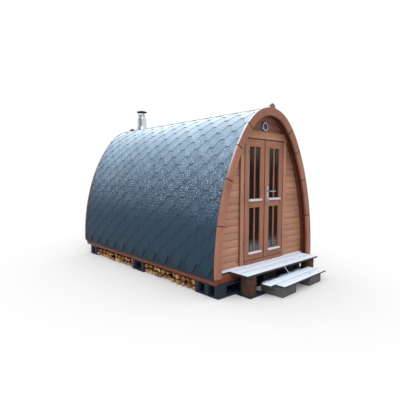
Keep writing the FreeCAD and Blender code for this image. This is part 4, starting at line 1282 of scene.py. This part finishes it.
def door_pieces():
    for side in ("left", "right"):
        low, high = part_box(side + "_leaf")
        glass_low, glass_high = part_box(side + "_glass")
        sides = (glass_low.x + GLASS_GROOVE, glass_high.x - GLASS_GROOVE)
        panes = [(*sides, low.z + BOTTOM_RAIL, low.z + MIDDLE_RAIL_LOW),
                 (*sides, low.z + MIDDLE_RAIL_HIGH, high.z - TOP_RAIL)]
        bm = leaf_boards(glass_low, glass_high, low, high, panes)
        made = board_piece(side + "_leaf_joinery", bm, [side + "_leaf"],
                           [MATERIALS["stained joinery"]], seed=50 + len(side))
        rim = 0.003
        # painted shade: the rims of the leaf darken for the shade in the gaps round it
        shade(made, lambda at, normal: abs(normal.y) < 0.97 and (
            at.x < low.x + rim or at.x > high.x - rim
            or at.z < low.z + rim or at.z > high.z - rim), -2.6)
        gap_shade_strips(side, low, high)
        ledge_caps(side, 54)
        use_finish(side + "_glass", "door glass")
        use_finish(side + "_hinges", "hinge zinc")
    frame_boards = dress("door_frame_boards", ["door_frame"], "stained joinery", 0.002, 60)
    # painted shade: the stops and jambs, seen through the gaps, are darkened
    shade(frame_boards, lambda at, normal: normal.y < 0.5 and at.z > 0.4, -3.2)
    casing = dress("door_casing_boards", ["door_casing"], "stained casing", 0.002, 61)
    # painted shade: the side and lower faces of the casing are darkened
    shade(casing, lambda at, normal: abs(normal.y) < 0.97 and (
        abs(normal.x) > 0.3 or normal.z < -0.3), -2.0)
    painted_shade_strips()
    dress("threshold_boards", ["threshold"], "stained joinery", 0.002, 62)
    use_finish("frame_hinges", "hinge zinc")
    use_finish("handle_plate", "handle satin")
    use_finish("handle_lever", "handle satin")
    # a dark key cylinder in the lower end of the backplate
    low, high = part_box("handle_plate")
    bm = bmesh.new()
    middle = (low.x + high.x) / 2
    add_board(bm, (middle - 0.0085, low.y - 0.003, low.z + 0.006),
              (middle + 0.0085, high.y - 0.001, low.z + 0.046), 0.0075)
    board_piece("key_cylinder", bm, [], [MATERIALS["black fitting and gap shade"]], 63, "right_door",
                slot_of("handle_plate"))


def use_finish(node, name):
    made = frame["nodes"][node]
    made.data.materials.clear()
    made.data.materials.append(MATERIALS[name])


def metal_pieces():
    use_finish("vent_ring", "vent satin")
    use_finish("vent_disc", "vent blue")
    use_finish("chimney_pipe", "flue steel")
    use_finish("chimney_flashing", "flue steel")
    use_finish("chimney_cap", "cap black")


def stump(bm, x, y, radius, low, high, bark, seed):
    """A length of log on end, with furrowed bark and sawn ends."""
    around, levels = 56, 12
    rings = []
    for j in range(levels + 1):
        z = low + (high - low) * j / levels
        ring = []
        for i in range(around):
            a = 2 * math.pi * i / around
            spot = Vector((math.cos(a) * 2.6, math.sin(a) * 2.6, z * 5.0 + seed))
            furrow = abs(noise.noise(spot * 1.7)) + 0.5 * abs(noise.noise(spot * 4.1))
            swell = 0.5 + 0.5 * noise.noise(spot * 0.4)
            r = radius - bark * (0.2 + 1.9 * min(1.0, furrow)) - 0.006 * swell
            ring.append(bm.verts.new((x + r * math.cos(a), y + r * math.sin(a), z)))
        rings.append(ring)
    for lower, upper in zip(rings, rings[1:]):
        for i in range(around):
            bm.faces.new((lower[i - 1], lower[i], upper[i], upper[i - 1]))
    for ring, up in ((rings[0], False), (rings[-1], True)):
        face = bm.faces.new(ring if up else ring[::-1])
        face.material_index = 1


def stump_piece(settings):
    bm = bmesh.new()
    grain, tone = grain_layers(bm)
    source = clean_copy("log_stumps")
    for k, members in enumerate(islands(source)):
        low = Vector(min(v.co[j] for v in members) for j in range(3))
        high = Vector(max(v.co[j] for v in members) for j in range(3))
        stump(bm, (low.x + high.x) / 2, (low.y + high.y) / 2, (high.x - low.x) / 2, low.z, high.z,
              settings.bark, 3.0 * k)
    source.free()
    for vert in bm.verts:
        vert[grain] = Vector((vert.co.z * 4.0, vert.co.x, vert.co.y))
    for face in bm.faces:
        face[tone] = 0.5 if face.calc_center_median().x < 0 else 2.4
    mesh = bpy.data.meshes.new("stumps")
    bm.to_mesh(mesh)
    bm.free()
    sharpen(mesh, 50.0)
    settle(link_mesh("stumps", mesh), ["log_stumps"],
           [MATERIALS["log bark"], MATERIALS["cut ends"]])


def deck_pieces(settings):
    dress("deck_planks", ["deck_boards"], "frosted boards", 0.005, 70)
    dress("step_planks", ["step_boards"], "frosted boards", 0.005, 71)
    dress("leaning_lath", ["lath"], "frosted ledges", 0.0, 72)
    dress("step_pallet_deck", ["step_pallet_top"], "pallet boards grey", 0.002, 73)
    dress("step_pallet_feet", ["step_pallet_legs"], "pallet boards grey", 0.002, 74)
    dress("stump_plate", ["stump_board"], "pallet boards dark", 0.002, 75)
    stump_piece(settings)


def boxes_of(node):
    """The low and high corner of each separate body of a CAD node."""
    bm = clean_copy(node)
    found = [corners_of(members) for members in islands(bm)]
    bm.free()
    return sorted(found, key=lambda box: tuple(round(c, 4) for c in box[0]))


def pallet_boards(name, node, gap, seed):
    """Boards across each pallet, on two pallets side by side."""
    bm = bmesh.new()
    for low, high in boxes_of(node):
        depth = high.y - low.y
        count = max(2, round(depth / 0.125))
        width = (depth - gap * (count - 1)) / count
        for k in range(count):
            y = low.y + k * (width + gap)
            for x0, x1 in ((low.x, -0.004), (0.004, high.x)):
                add_board(bm, (x0, y, low.z), (x1, y + width, high.z), 0.002)
    board_piece(name, bm, [node], [MATERIALS["pallet boards dark"]], seed)


def split_log(bm, chance, x0, x1, y0, y1, z0, z1):
    """One split log: a stem with some sides split flat, bark on what is left of the round."""
    middle = Vector(((y0 + y1) / 2, (z0 + z1) / 2))
    half = Vector(((y1 - y0) / 2, (z1 - z0) / 2))
    around = 14
    start = chance.uniform(0, 6.28)
    round_side = [Vector((math.cos(start + 2 * math.pi * i / around),
                          math.sin(start + 2 * math.pi * i / around)))
                  * chance.uniform(0.93, 1.0) for i in range(around)]
    flat = set()
    for _ in range(chance.choice((2, 2, 3, 3))):
        a = chance.uniform(0, 6.28)
        facing, reach = Vector((math.cos(a), math.sin(a))), chance.uniform(0.15, 0.62)
        for i, point in enumerate(round_side):
            beyond = point.dot(facing) - reach
            if beyond > 0:
                round_side[i] = point - facing * beyond
                flat.add(i)
    far = Vector((chance.uniform(-0.04, 0.04), chance.uniform(-0.04, 0.04)))
    rings = []
    for x, shift in ((x0, Vector((0, 0))), ((x0 + x1) / 2, far * 0.3), (x1, far)):
        ring = []
        for point in round_side:
            at = point * 0.95 + shift
            ring.append(bm.verts.new((x, middle.x + half.x * at.x, middle.y + half.y * at.y)))
        rings.append(ring)
    for a, b in zip(rings, rings[1:]):
        for i in range(around):
            face = bm.faces.new((a[i - 1], b[i - 1], b[i], a[i]))
            face.material_index = 0 if i in flat and (i - 1) % around in flat else 2
    for ring in (rings[0], rings[-1][::-1]):
        face = bm.faces.new(ring)
        face.material_index = 1
        result = bmesh.ops.inset_individual(bm, faces=[face], thickness=0.003, depth=0.001)
        for rim in result["faces"]:
            rim.material_index = 2


def firewood_piece(node, seed):
    """Split logs stacked in the boxes of the CAD logs, one or two to a box."""
    chance = random.Random(seed)
    bm = bmesh.new()
    for low, high in boxes_of(node):
        x0 = low.x + chance.uniform(0.0, 0.012)
        cuts = [0.0, 1.0]
        if chance.random() < SPLIT_CHANCE:
            cuts.insert(1, chance.uniform(0.38, 0.62))
        for a, b in zip(cuts, cuts[1:]):
            y0, y1 = low.y + (high.y - low.y) * a, low.y + (high.y - low.y) * b
            full = chance.random() < FULL_HEIGHT_CHANCE
            high_z = high.z if full else high.z - chance.uniform(0, 0.012)
            split_log(bm, chance, x0 + chance.uniform(0, 0.01), high.x, y0, y1, low.z, high_z)
    bmesh.ops.recalc_face_normals(bm, faces=bm.faces)
    board_piece(node + "_logs", bm, [node],
                [MATERIALS[k] for k in ("split wood", "cut ends", "firewood bark")], seed, vary=4.6)


def base_pieces(settings):
    pallet_boards("pallet_decks", "base_boards", settings.pallet_gap, 80)
    pallet_boards("pallet_bottoms", "base_bottoms", settings.pallet_gap * 0.3, 82)
    dress("pallet_blocks", ["base_blocks"], "pallet boards dark", 0.003, 81)
    firewood_piece("firewood_front", settings.seed)
    firewood_piece("firewood_rear", settings.seed + 1)


# Stage

def stage_pieces():
    mesh = bpy.data.meshes.new("pale_ground")
    bm = bmesh.new()
    bmesh.ops.create_grid(bm, x_segments=1, y_segments=1, size=60.0)
    bm.to_mesh(mesh)
    bm.free()
    ground = link_mesh("pale_ground", mesh)
    ground.data.materials.append(MATERIALS["pale ground"])
    world = bpy.data.worlds.new("soft sky")
    bpy.context.scene.world = world
    world.use_nodes = True
    world.node_tree.nodes.clear()
    g = Graph(world.node_tree)
    _, _, up = g.split(g.out("ShaderNodeTexCoord", "Generated"))
    dome = g.grey(g.smooth(up, 0.0, 1.0, 0.45, 1.64))
    level = g.mix(direct_view(g), dome, (1.0, 1.0, 1.0, 1.0))
    background = g.add("ShaderNodeBackground", {"Color": level, "Strength": 1.0})
    output = g.add("ShaderNodeOutputWorld")
    world.node_tree.links.new(background.outputs[0], output.inputs[0])
    lamp = bpy.data.lights.new("soft key", "SUN")
    lamp.energy = KEY_ENERGY
    lamp.angle = math.radians(KEY_SPREAD)
    key = bpy.data.objects.new("soft key", lamp)
    bpy.context.scene.collection.objects.link(key)
    key.matrix_world = (Matrix.Rotation(math.radians(KEY_TURN), 4, "Z")
                        @ Matrix.Rotation(math.radians(KEY_TILT), 4, "X"))
    camera = bpy.data.cameras.new("camera")
    camera.lens = LENS
    camera.sensor_width = SENSOR
    view = bpy.data.objects.new("camera", camera)
    bpy.context.scene.collection.objects.link(view)
    yaw, pitch = CAMERA_YAW, CAMERA_PITCH
    ahead = Vector((math.sin(yaw) * math.cos(pitch), math.cos(yaw) * math.cos(pitch),
                    math.sin(pitch)))
    turn = ahead.to_track_quat("-Z", "Y").to_matrix().to_4x4()
    view.matrix_world = (Matrix.Translation(EYE) @ turn
                         @ Matrix.Rotation(CAMERA_ROLL, 4, "Z"))
    bpy.context.scene.camera = view
    bpy.context.scene.view_settings.view_transform = "Standard"


# Operators, panel and registration

class SaunaOperator:
    bl_options = {"REGISTER"}


class SAUNA_OT_finishes(SaunaOperator, bpy.types.Operator):
    """Make the wood, shingle, metal and glass finishes"""
    bl_idname = "sauna.finishes"
    bl_label = "Finishes"

    def execute(self, context):
        finishes(context.scene.sauna_timber, context.scene.sauna_shingles)
        return {"FINISHED"}


class SAUNA_OT_roof(SaunaOperator, bpy.types.Operator):
    """Lay the shingles over the shell"""
    bl_idname = "sauna.roof"
    bl_label = "Shingles"

    def execute(self, context):
        roof_pieces(context.scene.sauna_shingles)
        return {"FINISHED"}


class SAUNA_OT_shell(SaunaOperator, bpy.types.Operator):
    """Joint the staves of the shell"""
    bl_idname = "sauna.shell"
    bl_label = "Staves"

    def execute(self, context):
        shell_pieces(context.scene.sauna_timber)
        return {"FINISHED"}


class SAUNA_OT_walls(SaunaOperator, bpy.types.Operator):
    """Board the end walls"""
    bl_idname = "sauna.walls"
    bl_label = "End walls"

    def execute(self, context):
        wall_pieces(context.scene.sauna_timber)
        return {"FINISHED"}


class SAUNA_OT_arches(SaunaOperator, bpy.types.Operator):
    """Round the edges of the arch boards and battens"""
    bl_idname = "sauna.arches"
    bl_label = "Arches"

    def execute(self, context):
        arch_pieces(context.scene.sauna_timber)
        return {"FINISHED"}


class SAUNA_OT_floor(SaunaOperator, bpy.types.Operator):
    """Finish the floor and the beams under it"""
    bl_idname = "sauna.floor"
    bl_label = "Floor"

    def execute(self, context):
        floor_pieces()
        return {"FINISHED"}


class SAUNA_OT_doors(SaunaOperator, bpy.types.Operator):
    """Build the joinery, glass and fittings of the doorway"""
    bl_idname = "sauna.doors"
    bl_label = "Doors"

    def execute(self, context):
        door_pieces()
        return {"FINISHED"}


class SAUNA_OT_metalwork(SaunaOperator, bpy.types.Operator):
    """Finish the vent and the flue"""
    bl_idname = "sauna.metalwork"
    bl_label = "Vent and flue"

    def execute(self, context):
        metal_pieces()
        return {"FINISHED"}


class SAUNA_OT_deck(SaunaOperator, bpy.types.Operator):
    """Build the deck, its stumps and the step"""
    bl_idname = "sauna.deck"
    bl_label = "Deck and step"

    def execute(self, context):
        deck_pieces(context.scene.sauna_base)
        return {"FINISHED"}


class SAUNA_OT_base(SaunaOperator, bpy.types.Operator):
    """Build the pallets and the split firewood"""
    bl_idname = "sauna.base"
    bl_label = "Pallets and firewood"

    def execute(self, context):
        base_pieces(context.scene.sauna_base)
        return {"FINISHED"}


class SAUNA_OT_stage(SaunaOperator, bpy.types.Operator):
    """Set up the ground, the light and the camera"""
    bl_idname = "sauna.stage"
    bl_label = "Stage"

    def execute(self, context):
        stage_pieces()
        return {"FINISHED"}


STEPS = (SAUNA_OT_finishes, SAUNA_OT_roof, SAUNA_OT_shell, SAUNA_OT_walls, SAUNA_OT_arches,
         SAUNA_OT_floor, SAUNA_OT_doors, SAUNA_OT_metalwork, SAUNA_OT_deck, SAUNA_OT_base,
         SAUNA_OT_stage)
GROUPS = {"sauna_shingles": ShingleSettings, "sauna_timber": TimberSettings,
          "sauna_base": BaseSettings}


class SAUNA_PT_panel(bpy.types.Panel):
    """Sizes and steps of the cabin's dressing"""
    bl_label = "Arched sauna cabin"
    bl_idname = "SAUNA_PT_panel"
    bl_space_type = "VIEW_3D"
    bl_region_type = "UI"
    bl_category = "Sauna"

    def draw(self, context):
        for name, group in GROUPS.items():
            box = self.layout.box()
            for key in group.__annotations__:
                box.prop(getattr(context.scene, name), key)
        for step in STEPS:
            self.layout.operator(step.bl_idname)


CLASSES = (ShingleSettings, TimberSettings, BaseSettings) + STEPS + (SAUNA_PT_panel,)


def register():
    for made in CLASSES:
        bpy.utils.register_class(made)
    for name, group in GROUPS.items():
        setattr(bpy.types.Scene, name, bpy.props.PointerProperty(type=group))


def unregister():
    for name in GROUPS:
        delattr(bpy.types.Scene, name)
    for made in reversed(CLASSES):
        bpy.utils.unregister_class(made)


def main():
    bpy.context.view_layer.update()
    register()
    for step in STEPS:
        name = step.bl_idname.split(".")[1]
        if getattr(bpy.ops.sauna, name)() != {"FINISHED"}:
            raise RuntimeError(step.bl_label + " wasn't finished")


if __name__ == "__main__":
    main()
